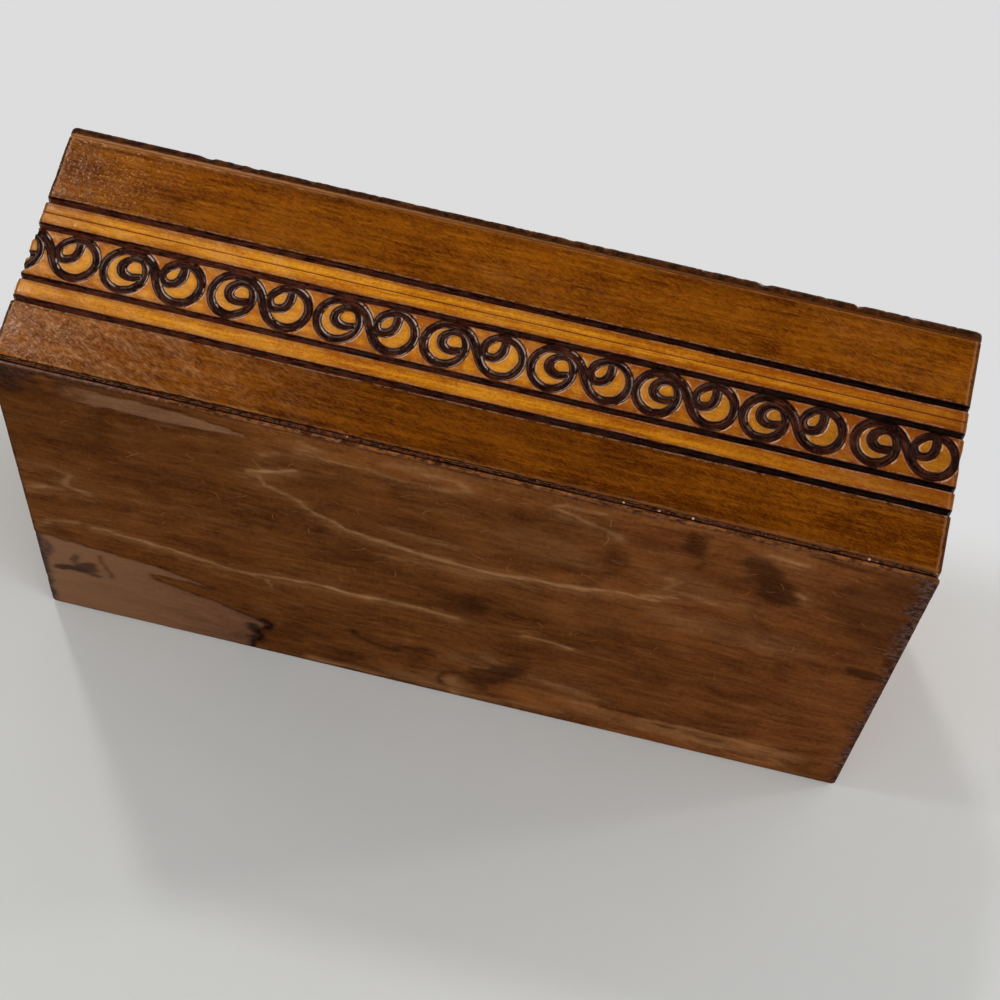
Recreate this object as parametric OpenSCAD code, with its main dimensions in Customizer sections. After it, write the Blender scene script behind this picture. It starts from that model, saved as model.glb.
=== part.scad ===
// Trinket box in carved and stained wood, with a lid on two small brass butt hinges.
// The box is a closed carcass: four mitred walls between a thin bottom board and a thin
// top board, grooved all round and then sawn through along the upper light band, so the
// part above the saw cut is the lid and the part below it is the base.
//
// Frame: +X runs along the front, the front wall faces -Y and +Z is up.
// Origin: the middle of the footprint, on the surface that the box stands on.
// Millimetres.

/* [Box] */
// Length of the box along its front
box_l = 200; // [170:1:260]
// Depth of the box from front face to back face
box_d = 128; // [100:1:180]
// Height of the closed box
box_h = 59.6; // [56:0.2:80]
// Thickness of the four walls and of the lid's rails
wall_t = 8; // [8:0.5:11]
// Thickness of the bottom board
board_t = 2.4; // [2:0.2:4]
// Thickness of the board on top of the lid
panel_t = 2.4; // [2:0.2:4]
// Corner radius of the two boards, seen from above
board_r = 1.2; // [0.5:0.1:3]

/* [Saw cut between lid and base] */
// Height of the middle of the saw cut above the table
seam_z = 37.4; // [34:0.2:44]
// Width left open by the saw cut when the lid is down
seam_gap = 0.2; // [0.1:0.05:0.4]

/* [Grooves round the walls] */
// Width of each burnt groove at the surface
groove_w = 1.55; // [1:0.05:2]
// Depth of each groove
groove_d = 0.9; // [0.4:0.05:1.4]
// Height of the lid's groove above the saw cut
groove_up = 3.15; // [2.9:0.05:4]
// Drop of the base's upper groove below the saw cut
groove_down = 3.35; // [2.9:0.05:4]
// Height of the scroll band, from groove middle to groove middle
scroll_h = 12.65; // [10:0.05:14]
// Height of the light band under it, from groove middle to groove middle
light_h = 5.35; // [4:0.05:7]

/* [Frames on the lid] */
// Distance of the outer frame groove from the lid's edge
frame_1 = 9; // [6:0.5:12]
// Distance of the middle frame groove from the lid's edge
frame_2 = 14.55; // [13.6:0.05:18]
// Distance of the inner frame groove from the lid's edge
frame_3 = 27.2; // [20:0.1:36]
// Width of the frame grooves
frame_w = 1.5; // [1:0.1:2.5]
// Depth of the frame grooves
frame_d = 0.7; // [0.3:0.05:1]

/* [Hinges] */
// Length of each hinge along the back
hinge_w = 24; // [18:1:30]
// Distance of each hinge's middle from the box's middle
hinge_x = 60; // [36:1:66]
// Distance of the hinge axis in from the back face
axis_in = 1.5; // [1.45:0.01:1.6]
// Outer radius of the knuckles
knuckle_r = 1.35; // [1.2:0.01:1.4]
// Radius of the hinge pin
pin_r = 0.6; // [0.5:0.01:0.7]
// Thickness of each leaf
leaf_t = 0.6; // [0.5:0.05:0.8]
// Height of the bevel on each side of the cut along the back, which lets the lid open
bevel_h = 1.9; // [1.85:0.01:2]

/* [Hidden] */

hl = box_l / 2;
hd = box_d / 2;
base_top = seam_z - seam_gap / 2;
lid_bot = seam_z + seam_gap / 2;
rail_top = box_h - panel_t;
axis_y = hd - axis_in;

// Groove heights: one in the lid, three in the base
z_lid = [seam_z + groove_up];
z_base = [seam_z - groove_down,
          seam_z - groove_down - scroll_h,
          seam_z - groove_down - scroll_h - light_h];

running = 0.06;                        // radial clearance of the turning knuckle on the pin
leaf_w = wall_t - 1 - axis_in;         // leaf, measured from the axis towards the front
plate_end = knuckle_r + 0.15;          // the flat plate stops this far from the axis
mid_half = hinge_w / 6;                // half length of the lid's knuckle
knuckle_gap = 0.1;                     // play on each side of the lid's knuckle
screw_y = -(leaf_w + plate_end) / 2;   // screw row, from the axis
screw_x = hinge_w / 2 - 4.6;           // screws, from the hinge's middle
screw_r = 0.75;
screw_head_r = 1.35;
screw_head_h = 0.5;
screw_len = 6.5;

wood_brown = "#7d4a19";
wood_dark = "#5a3316";
brass = "#b08d3c";
steel = "#9b9a94";

// ---------- shared shapes ----------

// Profile in Y and Z, swept along the whole length of the box
module along_x(len) {
    translate([-len / 2, 0, 0]) rotate([90, 0, 90]) linear_extrude(len) children();
}

// Profile in X and Z, swept along the whole depth of the box
module along_y(len) {
    translate([0, len / 2, 0]) rotate([90, 0, 0]) linear_extrude(len) children();
}

// One V profile. It opens towards negative on the first axis and starts at -at.
module vee(at, z) {
    out = 1;
    half = groove_w / 2 * (1 + out / groove_d);
    polygon([[-at - out, z - half], [-at + groove_d, z], [-at - out, z + half]]);
}

// V grooves at the heights zs on all four faces; they meet on the corners
module ring_grooves(zs) {
    for (z = zs) {
        along_x(box_l + 4) vee(hd, z);
        along_x(box_l + 4) mirror([1, 0]) vee(hd, z);
        along_y(box_d + 4) vee(hl, z);
        along_y(box_d + 4) mirror([1, 0]) vee(hl, z);
    }
}

// Bevels on both sides of the saw cut along the back edge
module back_bevel() {
    out = 1;
    run = axis_in + 0.2;
    b = bevel_h * (1 + out / run);
    along_x(box_l + 4)
        polygon([[hd - run, seam_z], [hd + out, seam_z - b], [hd + out, seam_z + b]]);
}

module front_plan() {
    polygon([[-hl, -hd], [hl, -hd], [hl - wall_t, -hd + wall_t], [-hl + wall_t, -hd + wall_t]]);
}

module side_plan() {
    polygon([[-hl, -hd], [-hl + wall_t, -hd + wall_t], [-hl + wall_t, hd - wall_t], [-hl, hd]]);
}

module board_plan() {
    union() {
        square([box_l - 2 * board_r, box_d], center = true);
        square([box_l, box_d - 2 * board_r], center = true);
        for (x = [-1, 1], y = [-1, 1])
            translate([x * (hl - board_r), y * (hd - board_r)]) circle(r = board_r, $fn = 48);
    }
}

// Room for the barrels and leaves in the wood around each hinge
module hinge_room() {
    for (s = [-1, 1]) translate([s * hinge_x, axis_y, seam_z]) {
        translate([-hinge_w / 2 - 0.6, 0, 0]) rotate([0, 90, 0])
            cylinder(r = knuckle_r + 0.3, h = hinge_w + 1.2, $fn = 64);
        translate([-hinge_w / 2, -leaf_w, -seam_gap / 2 - leaf_t])
            cube([hinge_w, leaf_w, seam_gap + 2 * leaf_t]);
    }
}

module at_screws() {
    for (s = [-1, 1], t = [-1, 1])
        translate([s * hinge_x + t * screw_x, axis_y + screw_y, 0]) children();
}

// ---------- walls, rails and boards ----------

module front_wall() {
    color(wood_brown) difference() {
        translate([0, 0, board_t]) linear_extrude(base_top - board_t) front_plan();
        ring_grooves(z_base);
    }
}

module back_wall() {
    color(wood_brown) difference() {
        translate([0, 0, board_t]) linear_extrude(base_top - board_t) mirror([0, 1]) front_plan();
        ring_grooves(z_base);
        back_bevel();
        hinge_room();
        at_screws() translate([0, 0, base_top - screw_len])
            cylinder(r = screw_r, h = screw_len + 1, $fn = 48);
    }
}

module side_wall() {
    difference() {
        translate([0, 0, board_t]) linear_extrude(base_top - board_t) side_plan();
        ring_grooves(z_base);
        back_bevel();
    }
}

module left_wall() { color(wood_brown) side_wall(); }

module right_wall() { color(wood_brown) mirror([1, 0, 0]) side_wall(); }

module bottom_board() {
    color(wood_dark) linear_extrude(board_t) board_plan();
}

module lid_front_rail() {
    color(wood_brown) difference() {
        translate([0, 0, lid_bot]) linear_extrude(rail_top - lid_bot) front_plan();
        ring_grooves(z_lid);
    }
}

module lid_back_rail() {
    color(wood_brown) difference() {
        translate([0, 0, lid_bot]) linear_extrude(rail_top - lid_bot) mirror([0, 1]) front_plan();
        ring_grooves(z_lid);
        back_bevel();
        hinge_room();
        at_screws() translate([0, 0, lid_bot - 1])
            cylinder(r = screw_r, h = screw_len + 1, $fn = 48);
    }
}

module side_rail() {
    difference() {
        translate([0, 0, lid_bot]) linear_extrude(rail_top - lid_bot) side_plan();
        ring_grooves(z_lid);
        back_bevel();
    }
}

module lid_left_rail() { color(wood_brown) side_rail(); }

module lid_right_rail() { color(wood_brown) mirror([1, 0, 0]) side_rail(); }

// A square-bottomed groove round the panel, in from its edge by inset
module frame_groove(inset) {
    translate([0, 0, box_h - frame_d]) linear_extrude(frame_d + 1) difference() {
        square([box_l - 2 * inset, box_d - 2 * inset], center = true);
        square([box_l - 2 * inset - 2 * frame_w, box_d - 2 * inset - 2 * frame_w], center = true);
    }
}

module lid_panel() {
    color(wood_brown) difference() {
        translate([0, 0, rail_top]) linear_extrude(panel_t) board_plan();
        frame_groove(frame_1);
        frame_groove(frame_2);
        frame_groove(frame_3);
    }
}

// ---------- hinges ----------

// Drawn at the axis: X along the pin, -Y towards the front, the leaf below the cut
module leaf(knuckles, bore) {
    difference() {
        union() {
            translate([-hinge_w / 2, -leaf_w, -seam_gap / 2 - leaf_t])
                cube([hinge_w, leaf_w - plate_end, leaf_t]);
            for (k = knuckles) {
                translate([k[0], -plate_end - 0.5, -seam_gap / 2 - leaf_t])
                    cube([k[1] - k[0], plate_end + 0.5, leaf_t]);
                translate([k[0], 0, 0]) rotate([0, 90, 0])
                    cylinder(r = knuckle_r, h = k[1] - k[0], $fn = 64);
            }
        }
        translate([-hinge_w, 0, 0]) rotate([0, 90, 0]) cylinder(r = bore, h = 2 * hinge_w, $fn = 48);
        for (t = [-1, 1]) translate([t * screw_x, screw_y, -seam_gap / 2]) screw_body(0.5);
    }
}

module base_leaf() {
    leaf([[-hinge_w / 2, -mid_half - knuckle_gap], [mid_half + knuckle_gap, hinge_w / 2]], pin_r);
}

module lid_leaf() {
    mirror([0, 0, 1]) leaf([[-mid_half, mid_half]], pin_r + running);
}

module base_leaf_left() { color(brass) translate([-hinge_x, axis_y, seam_z]) base_leaf(); }

module base_leaf_right() { color(brass) translate([hinge_x, axis_y, seam_z]) base_leaf(); }

module lid_leaf_left() { color(brass) translate([-hinge_x, axis_y, seam_z]) lid_leaf(); }

module lid_leaf_right() { color(brass) translate([hinge_x, axis_y, seam_z]) lid_leaf(); }

module hinge_pin() {
    rotate([0, 90, 0]) {
        translate([0, 0, -hinge_w / 2]) cylinder(r = pin_r, h = hinge_w, $fn = 48);
        translate([0, 0, hinge_w / 2]) cylinder(r = pin_r + 0.25, h = 0.35, $fn = 48);
        translate([0, 0, -hinge_w / 2 - 0.35]) cylinder(r = pin_r + 0.25, h = 0.35, $fn = 48);
    }
}

module hinge_pin_left() { color(steel) translate([-hinge_x, axis_y, seam_z]) hinge_pin(); }

module hinge_pin_right() { color(steel) translate([hinge_x, axis_y, seam_z]) hinge_pin(); }

// Countersunk screw, head at the top, pointing down from z = 0. The rise carries the
// head's cone on above the leaf, for a cutter.
module screw_body(rise) {
    grow = (screw_head_r - screw_r) / screw_head_h;
    translate([0, 0, -screw_head_h])
        cylinder(r1 = screw_r, r2 = screw_head_r + grow * rise, h = screw_head_h + rise, $fn = 48);
    translate([0, 0, -screw_len]) cylinder(r = screw_r, h = screw_len, $fn = 48);
}

module screw() {
    difference() {
        screw_body(0);
        translate([-2, -0.18, -0.25]) cube([4, 0.36, 1]);
    }
}

module base_hinge_screws() {
    color(brass) at_screws() translate([0, 0, base_top]) rotate([0, 0, 25]) screw();
}

module lid_hinge_screws() {
    color(brass) at_screws() translate([0, 0, lid_bot]) mirror([0, 0, 1]) rotate([0, 0, -40]) screw();
}

// ---------- nodes ----------

bottom_board();
front_wall();
back_wall();
left_wall();
right_wall();
base_leaf_left();
base_leaf_right();
hinge_pin_left();
hinge_pin_right();
base_hinge_screws();
lid_panel();
lid_front_rail();
lid_back_rail();
lid_left_rail();
lid_right_rail();
lid_leaf_left();
lid_leaf_right();
lid_hinge_screws();
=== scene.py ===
import math

import bmesh
import bpy
import numpy as np
from mathutils import Matrix, Vector


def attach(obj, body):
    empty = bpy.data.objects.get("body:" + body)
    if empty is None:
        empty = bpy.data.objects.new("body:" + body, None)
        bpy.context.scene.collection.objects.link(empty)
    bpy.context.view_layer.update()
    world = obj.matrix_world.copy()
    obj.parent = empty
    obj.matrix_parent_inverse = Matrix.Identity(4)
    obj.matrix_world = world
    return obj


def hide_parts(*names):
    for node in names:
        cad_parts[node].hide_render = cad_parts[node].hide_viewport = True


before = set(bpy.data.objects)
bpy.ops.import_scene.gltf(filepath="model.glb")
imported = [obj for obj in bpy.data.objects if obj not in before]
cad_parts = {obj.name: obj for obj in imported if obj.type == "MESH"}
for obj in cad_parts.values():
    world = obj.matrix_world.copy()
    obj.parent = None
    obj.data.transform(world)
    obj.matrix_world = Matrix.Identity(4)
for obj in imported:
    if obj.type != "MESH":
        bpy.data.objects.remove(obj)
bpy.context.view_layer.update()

# All lengths below are millimetres in the row frame until mesh() turns them into metres.
HL, HD, HT = 100.0, 64.0, 59.6
WALL = 8.0
SEAM = 37.4
BOARD = 2.4
RAIL_TOP = 57.2
AXIS_Y = 62.5
HINGE_X, HINGE_W = 60.0, 24.0
TAU = 2 * math.pi


# ---------------------------------------------------------------- small helpers

def smooth(a, b, x):
    t = np.clip((x - a) / (b - a), 0, 1)
    return t * t * (3 - 2 * t)


_tables = {}


def _table(seed, n):
    if (seed, n) not in _tables:
        _tables[seed, n] = np.random.default_rng(seed).uniform(-1, 1, n)
    return _tables[seed, n]


def noise1(x, size, seed):
    t = np.asarray(x, float) / size
    i = np.floor(t).astype(int)
    f = t - i
    f = f * f * (3 - 2 * f)
    tab = _table(seed, 997)
    return tab[i % 997] * (1 - f) + tab[(i + 1) % 997] * f


def noise2(x, y, sx, sy, seed):
    a, b = np.broadcast_arrays(np.asarray(x, float) / sx, np.asarray(y, float) / sy)
    i, j = np.floor(a).astype(int), np.floor(b).astype(int)
    f, g = a - i, b - j
    f, g = f * f * (3 - 2 * f), g * g * (3 - 2 * g)
    tab = _table(seed, 65521)

    def at(p, q):
        return tab[(p * 73 + q * 9176 + 40503 * (p % 7)) % 65521]

    top = at(i, j) * (1 - f) + at(i + 1, j) * f
    low = at(i, j + 1) * (1 - f) + at(i + 1, j + 1) * f
    return top * (1 - g) + low * g


def mesh(name, verts, faces, mats, face_mat=None, attrs=None, sharp=48, smooth_on=True):
    """A mesh object from points in millimetres."""
    me = bpy.data.meshes.new(name)
    v = (np.asarray(verts, float) / 1000.0).tolist()
    me.from_pydata(v, [], [list(map(int, f)) for f in faces])
    me.update()
    bm = bmesh.new()
    bm.from_mesh(me)
    bmesh.ops.recalc_face_normals(bm, faces=bm.faces[:])
    bm.to_mesh(me)
    bm.free()
    for m in mats:
        me.materials.append(m)
    if face_mat is not None:
        me.polygons.foreach_set("material_index", np.asarray(face_mat, np.int32))
    for key, val in (attrs or {}).items():
        a = me.attributes.new(key, "FLOAT", "POINT")
        a.data.foreach_set("value", np.asarray(val, np.float32))
    if smooth_on:
        me.polygons.foreach_set("use_smooth", np.ones(len(me.polygons), bool))
        me.set_sharp_from_angle(angle=math.radians(sharp))
    me.update()
    ob = bpy.data.objects.new(name, me)
    bpy.context.scene.collection.objects.link(ob)
    return ob


# ---------------------------------------------------------------- the scroll pattern

RING_Z = 28.0
# Ring centres along the front, measured from the photo: A spirals open to the right,
# B spirals to the left, and a tangent joins each A to the B on its right.
FRONT_A = [-101.7, -79.0, -55.7, -32.65, -9.63, 13.35, 35.7, 58.5, 81.9]
FRONT_B = [-89.55, -66.85, -43.6, -20.6, 2.45, 25.45, 47.65, 70.6, 94.4]
PERIMETER = 2 * (2 * HL + 2 * HD)


def ring_pairs():
    """(A, B) ring centres round the whole box, along the perimeter."""
    pairs = list(zip(FRONT_A, FRONT_B))
    n = 19
    first, last = 105.4, FRONT_A[0] + PERIMETER - 10.95
    pitch = (last - 12.0 - first) / (n - 1)
    rng = np.random.default_rng(7)
    for k in range(n):
        a = first + pitch * k + rng.uniform(-0.15, 0.15)
        pairs.append((a, a + 11.85 + rng.uniform(-0.15, 0.15)))
    return pairs


# Middle lines of the two strokes of one S, from ring A's middle: x and height over the ring
# middles, with the stroke's width at each point.
STROKE_B = [(-1.2, 4.62, 1.85), (0.0, 4.74, 2.0), (1.8, 4.68, 2.1), (3.6, 4.02, 2.1), (5.0, 2.9, 2.05), (5.95, 1.6, 2.05),
            (6.65, 0.2, 2.05), (7.25, -1.1, 2.0), (8.0, -2.45, 1.95), (9.0, -3.6, 1.92), (10.4, -4.4, 1.92),
            (12.1, -4.7, 1.95), (14.27, -4.1, 1.9), (15.87, -2.38, 1.84), (16.45, -0.05, 1.8),
            (15.87, 2.27, 1.8), (14.27, 4.02, 1.85), (12.1, 4.7, 1.9), (10.2, 4.2, 1.85), (8.75, 3.1, 1.8),
            (7.98, 1.8, 1.6), (7.95, 0.8, 1.7), (8.35, -0.15, 1.8), (9.2, -0.65, 1.9), (10.3, -0.6, 1.95),
            (11.3, -0.05, 1.95), (11.95, 0.95, 1.95), (12.2, 2.2, 1.95), (12.2, 3.4, 1.9)]
STROKE_A = [(0.3, 4.66, 1.9), (-0.8, 4.62, 1.85), (-2.4, 3.9, 1.8), (-3.9, 2.24, 1.78), (-4.5, -0.1, 1.78), (-3.9, -2.44, 1.8),
            (-2.27, -4.15, 1.86), (-0.05, -4.78, 1.92), (2.17, -4.15, 1.84), (3.8, -2.44, 1.74), (4.38, -0.4, 1.64),
            (4.15, 1.3, 1.58), (3.35, 2.65, 1.45), (2.2, 3.2, 1.5), (0.85, 3.0, 1.6), (-0.2, 2.3, 1.8),
            (-0.8, 1.3, 2.0), (-0.8, 0.15, 2.05), (-0.2, -0.75, 2.0), (0.8, -1.2, 1.9), (2.0, -1.25, 1.8), (3.2, -0.95, 1.7)]


def curve(pts, step=0.15):
    """Catmull-Rom curve through points with extra columns carried along."""
    p = np.asarray(pts, float)
    p = np.concatenate([[2 * p[0] - p[1]], p, [2 * p[-1] - p[-2]]])
    out = []
    for a, b, c, d in zip(p[:-3], p[1:-2], p[2:-1], p[3:]):
        n = max(2, int(np.hypot(*(c - b)[:2]) / step))
        t = (np.arange(n) / n)[:, None]
        out.append(0.5 * (2 * b + (c - a) * t + (2 * a - 5 * b + 4 * c - d) * t ** 2 + (3 * b - 3 * c + d - a) * t ** 3))
    out.append(p[-2:-1])
    return np.concatenate(out)


def scroll_path(xa, xb, z0, rng):
    """Middle line of one S scroll and its width at each point."""
    w = rng.uniform(-1, 1, 8)
    parts = []
    for k, stroke in enumerate((STROKE_A, STROKE_B)):
        p = np.array(stroke)
        near_b = smooth(4.0, 9.0, p[:, 0])
        p[:, 0] *= 1 + near_b * ((xb - xa) / 12.12 - 1)
        p[:, 0] += xa + 0.10 * w[0] * (1 - near_b) + 0.10 * w[1] * near_b
        p[:, 1] = p[:, 1] * (1 + 0.012 * w[2 + k]) + z0 + 0.09 * w[4] * (1 - near_b) + 0.09 * w[5] * near_b
        p[:, 2] *= 1.09 + 0.04 * w[6 + k]
        parts.append(curve(p))
    pts = np.concatenate(parts)
    pts, wid = pts[:, :2], pts[:, 2]
    pts = pts + 0.05 * np.stack([noise1(pts[:, 0], 1.7, 31), noise1(pts[:, 1] + pts[:, 0], 1.3, 32)], 1)
    return pts, wid * (1 + 0.07 * noise1(pts[:, 0] * 0.7 + pts[:, 1], 1.9, 33))


def scroll_distance(s, z, pairs, z0, seed=11, ends=()):
    """Signed distance to the burnt scroll lines (negative inside), and the distance to
    the nearest ring's middle, at points (s, z)."""
    sd = np.full(s.shape, 3.0)
    ring = np.full(s.shape, 9.0)
    rng = np.random.default_rng(seed)
    for xa, xb in pairs:
        pts, wid = scroll_path(xa, xb, z0, rng)
        for shift in (0.0, -PERIMETER, PERIMETER):
            lo, hi = pts[:, 0].min() + shift - 3, pts[:, 0].max() + shift + 3
            near = (s > lo) & (s < hi) & (np.abs(z - z0) < 9)
            if not near.any():
                continue
            idx = np.nonzero(near)
            ps, pz = s[idx], z[idx]
            best = np.full(ps.shape, 3.0)
            for k in range(0, len(pts), 64):
                blk, bw = pts[k:k + 64], wid[k:k + 64]
                dx = ps[:, None] - (blk[None, :, 0] + shift)
                dz = pz[:, None] - blk[None, :, 1]
                best = np.minimum(best, (np.sqrt(dx * dx + dz * dz) - bw[None, :] / 2).min(1))
            sd[idx] = np.minimum(sd[idx], best)
            for c in (xa, xb):
                ring[idx] = np.minimum(ring[idx], np.hypot(ps - c - shift, pz - z0))
    return sd, ring


PAIRS = ring_pairs()
# Middle height and half width of the four grooves
V_LID = [(40.55, 0.78)]
V_BASE = [(34.05, 0.80), (21.4, 0.75), (16.05, 0.80)]


def groove_line(s, zc, seed):
    return zc + 0.045 * noise1(s, 9.0, seed) + 0.03 * noise1(s, 2.1, seed + 1)


def carve(s, z, part):
    """(depth below the face, signed distance to the burnt region, distance to a ring's
    middle) at perimeter position s and height z."""
    vs = V_BASE if part == "base" else V_LID
    sdv = np.full(s.shape, 3.0)
    depth = np.zeros(s.shape)
    for k, (zc, hw) in enumerate(vs):
        seed = 50 + 5 * k + (0 if part == "base" else 40)
        hw_s = hw * (1 + 0.07 * noise1(s, 6.0, seed + 2))
        d = np.abs(z - groove_line(s, zc, seed))
        sdv = np.minimum(sdv, d - hw_s)
        t = d / hw_s
        depth = np.maximum(depth, 0.78 * (1 - smooth(0.22, 1.12, t)) * (1 + 0.08 * noise1(s, 1.3, seed + 3)))
    ring = np.full(s.shape, 9.0)
    sds = np.full(s.shape, 3.0)
    if part == "base":
        sds, ring = scroll_distance(s, z, PAIRS, RING_Z)
        t = (sds + 0.83) / 0.83
        ds = 0.62 * (1 - smooth(0.15, 1.15, t)) * (1 + 0.10 * noise2(s, z, 0.8, 0.8, 71))
        depth = np.maximum(depth, ds) + 0.18 * np.minimum(depth, ds)
    return depth, np.minimum(sdv, sds), ring


def tone(side, s, z):
    """Slow lightness differences of the stain (0.5 in the middle) and how rubbed it is, with painted sheen added at the
    left end of the front and along its top-left arris.
    """
    t = 0.5 + 0.09 * noise2(s, z, 38, 9, 901) + 0.07 * noise2(s, z, 8, 3, 902)
    rub_and_sheen = 0.12 * smooth(0.2, 0.9, noise2(s, z, 26, 8, 903))
    streak = noise2(0.88 * s - 0.47 * z, 0.88 * z + 0.47 * s, 7.0, 0.60, 904)
    streak = 0.25 + 0.95 * smooth(-0.35, 0.65, streak) + 0.3 * noise2(s, z, 3.0, 0.35, 905)
    low, high = z < 16.05, z > 40.55
    mid = ~low & ~high
    if side == "front":
        t = t + high * (-0.10 + 0.10 * smooth(46, 53, z) * smooth(30, -40, s))
        t = t + low * (-0.40 + 0.40 * smooth(-20, -85, s) + 0.12 * smooth(20, 60, s))
        t = t + mid * (0.04 * smooth(0, -50, s) - 0.16 * smooth(-72, -98, s) * smooth(33, 38, z))
        t = t - mid * (0.08 + 0.16 * smooth(38, 34, z)) * smooth(0, 85, s) - mid * 0.12 * smooth(52, 96, s)
        t = t - mid * 0.10 * smooth(-84, -100, s) + 0.10 * low * smooth(-30, 0, s) * smooth(96, 60, s) * noise2(s, z, 14, 5, 907)
        # painted sheen where the lamps reflect at the left end and along the top-left arris, on top of the rubbed wear
        rub_and_sheen = rub_and_sheen + low * 0.80 * smooth(-18, -80, s) + high * 0.16 * smooth(-62, -98, s) + mid * 0.22 * smooth(-8, -60, s)
        rub_and_sheen = rub_and_sheen + 0.9 * smooth(55.9, 56.5, z) * smooth(-30, -75, s)
    return t, np.clip(rub_and_sheen * streak, 0, 1)


# ---------------------------------------------------------------- walls and rails

SIDES = {
    # outward normal, direction of +u, half distance, half length, middle on the perimeter
    "front": ((0, -1), (1, 0), HD, HL, 0.0),
    "right": ((1, 0), (0, 1), HL, HD, HL + HD),
    "back": ((0, 1), (-1, 0), HD, HL, 2 * HL + 2 * HD),
    "left": ((-1, 0), (0, -1), HL, HD, 3 * HL + 3 * HD),
}
CORNER = {("front", 1): 0, ("right", -1): 0, ("right", 1): 1, ("back", -1): 1,
          ("back", 1): 2, ("left", -1): 2, ("left", 1): 3, ("front", -1): 3}
ZONE = 1.4


def corner_r(which, z):
    return 0.80 + 0.16 * noise1(z, 3.1, 200 + which) + 0.10 * noise1(z, 0.9, 210 + which)


def rows_for(part):
    if part == "base":
        z = [2.4, 2.44, 2.56, 2.75, 3.0, 3.3, 3.7]
        z += list(np.arange(4.6, 14.9, 1.1))
        z += list(np.arange(15.0, 17.2, 0.17))
        z += list(np.arange(17.5, 20.2, 0.55))
        z += list(np.arange(20.4, 35.1, 0.215))
        return z, [35.3, 35.5, 35.9, 36.3, 36.7, 36.95, 37.12, 37.24, 37.3]
    z = [57.2, 57.16, 57.05, 56.88, 56.65, 56.35, 55.9]
    z += list(np.arange(55.0, 42.2, -1.1))
    z += list(np.arange(41.9, 39.3, -0.17))
    return z, [39.3, 38.9, 38.5, 38.1, 37.85, 37.68, 37.56, 37.5]


def rim(h, r):
    """Inset of a rounded arris of radius r at distance h from the edge."""
    h = np.clip(h, 0, r)
    return r - np.sqrt(np.maximum(r * r - (r - h) ** 2, 0))


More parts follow.
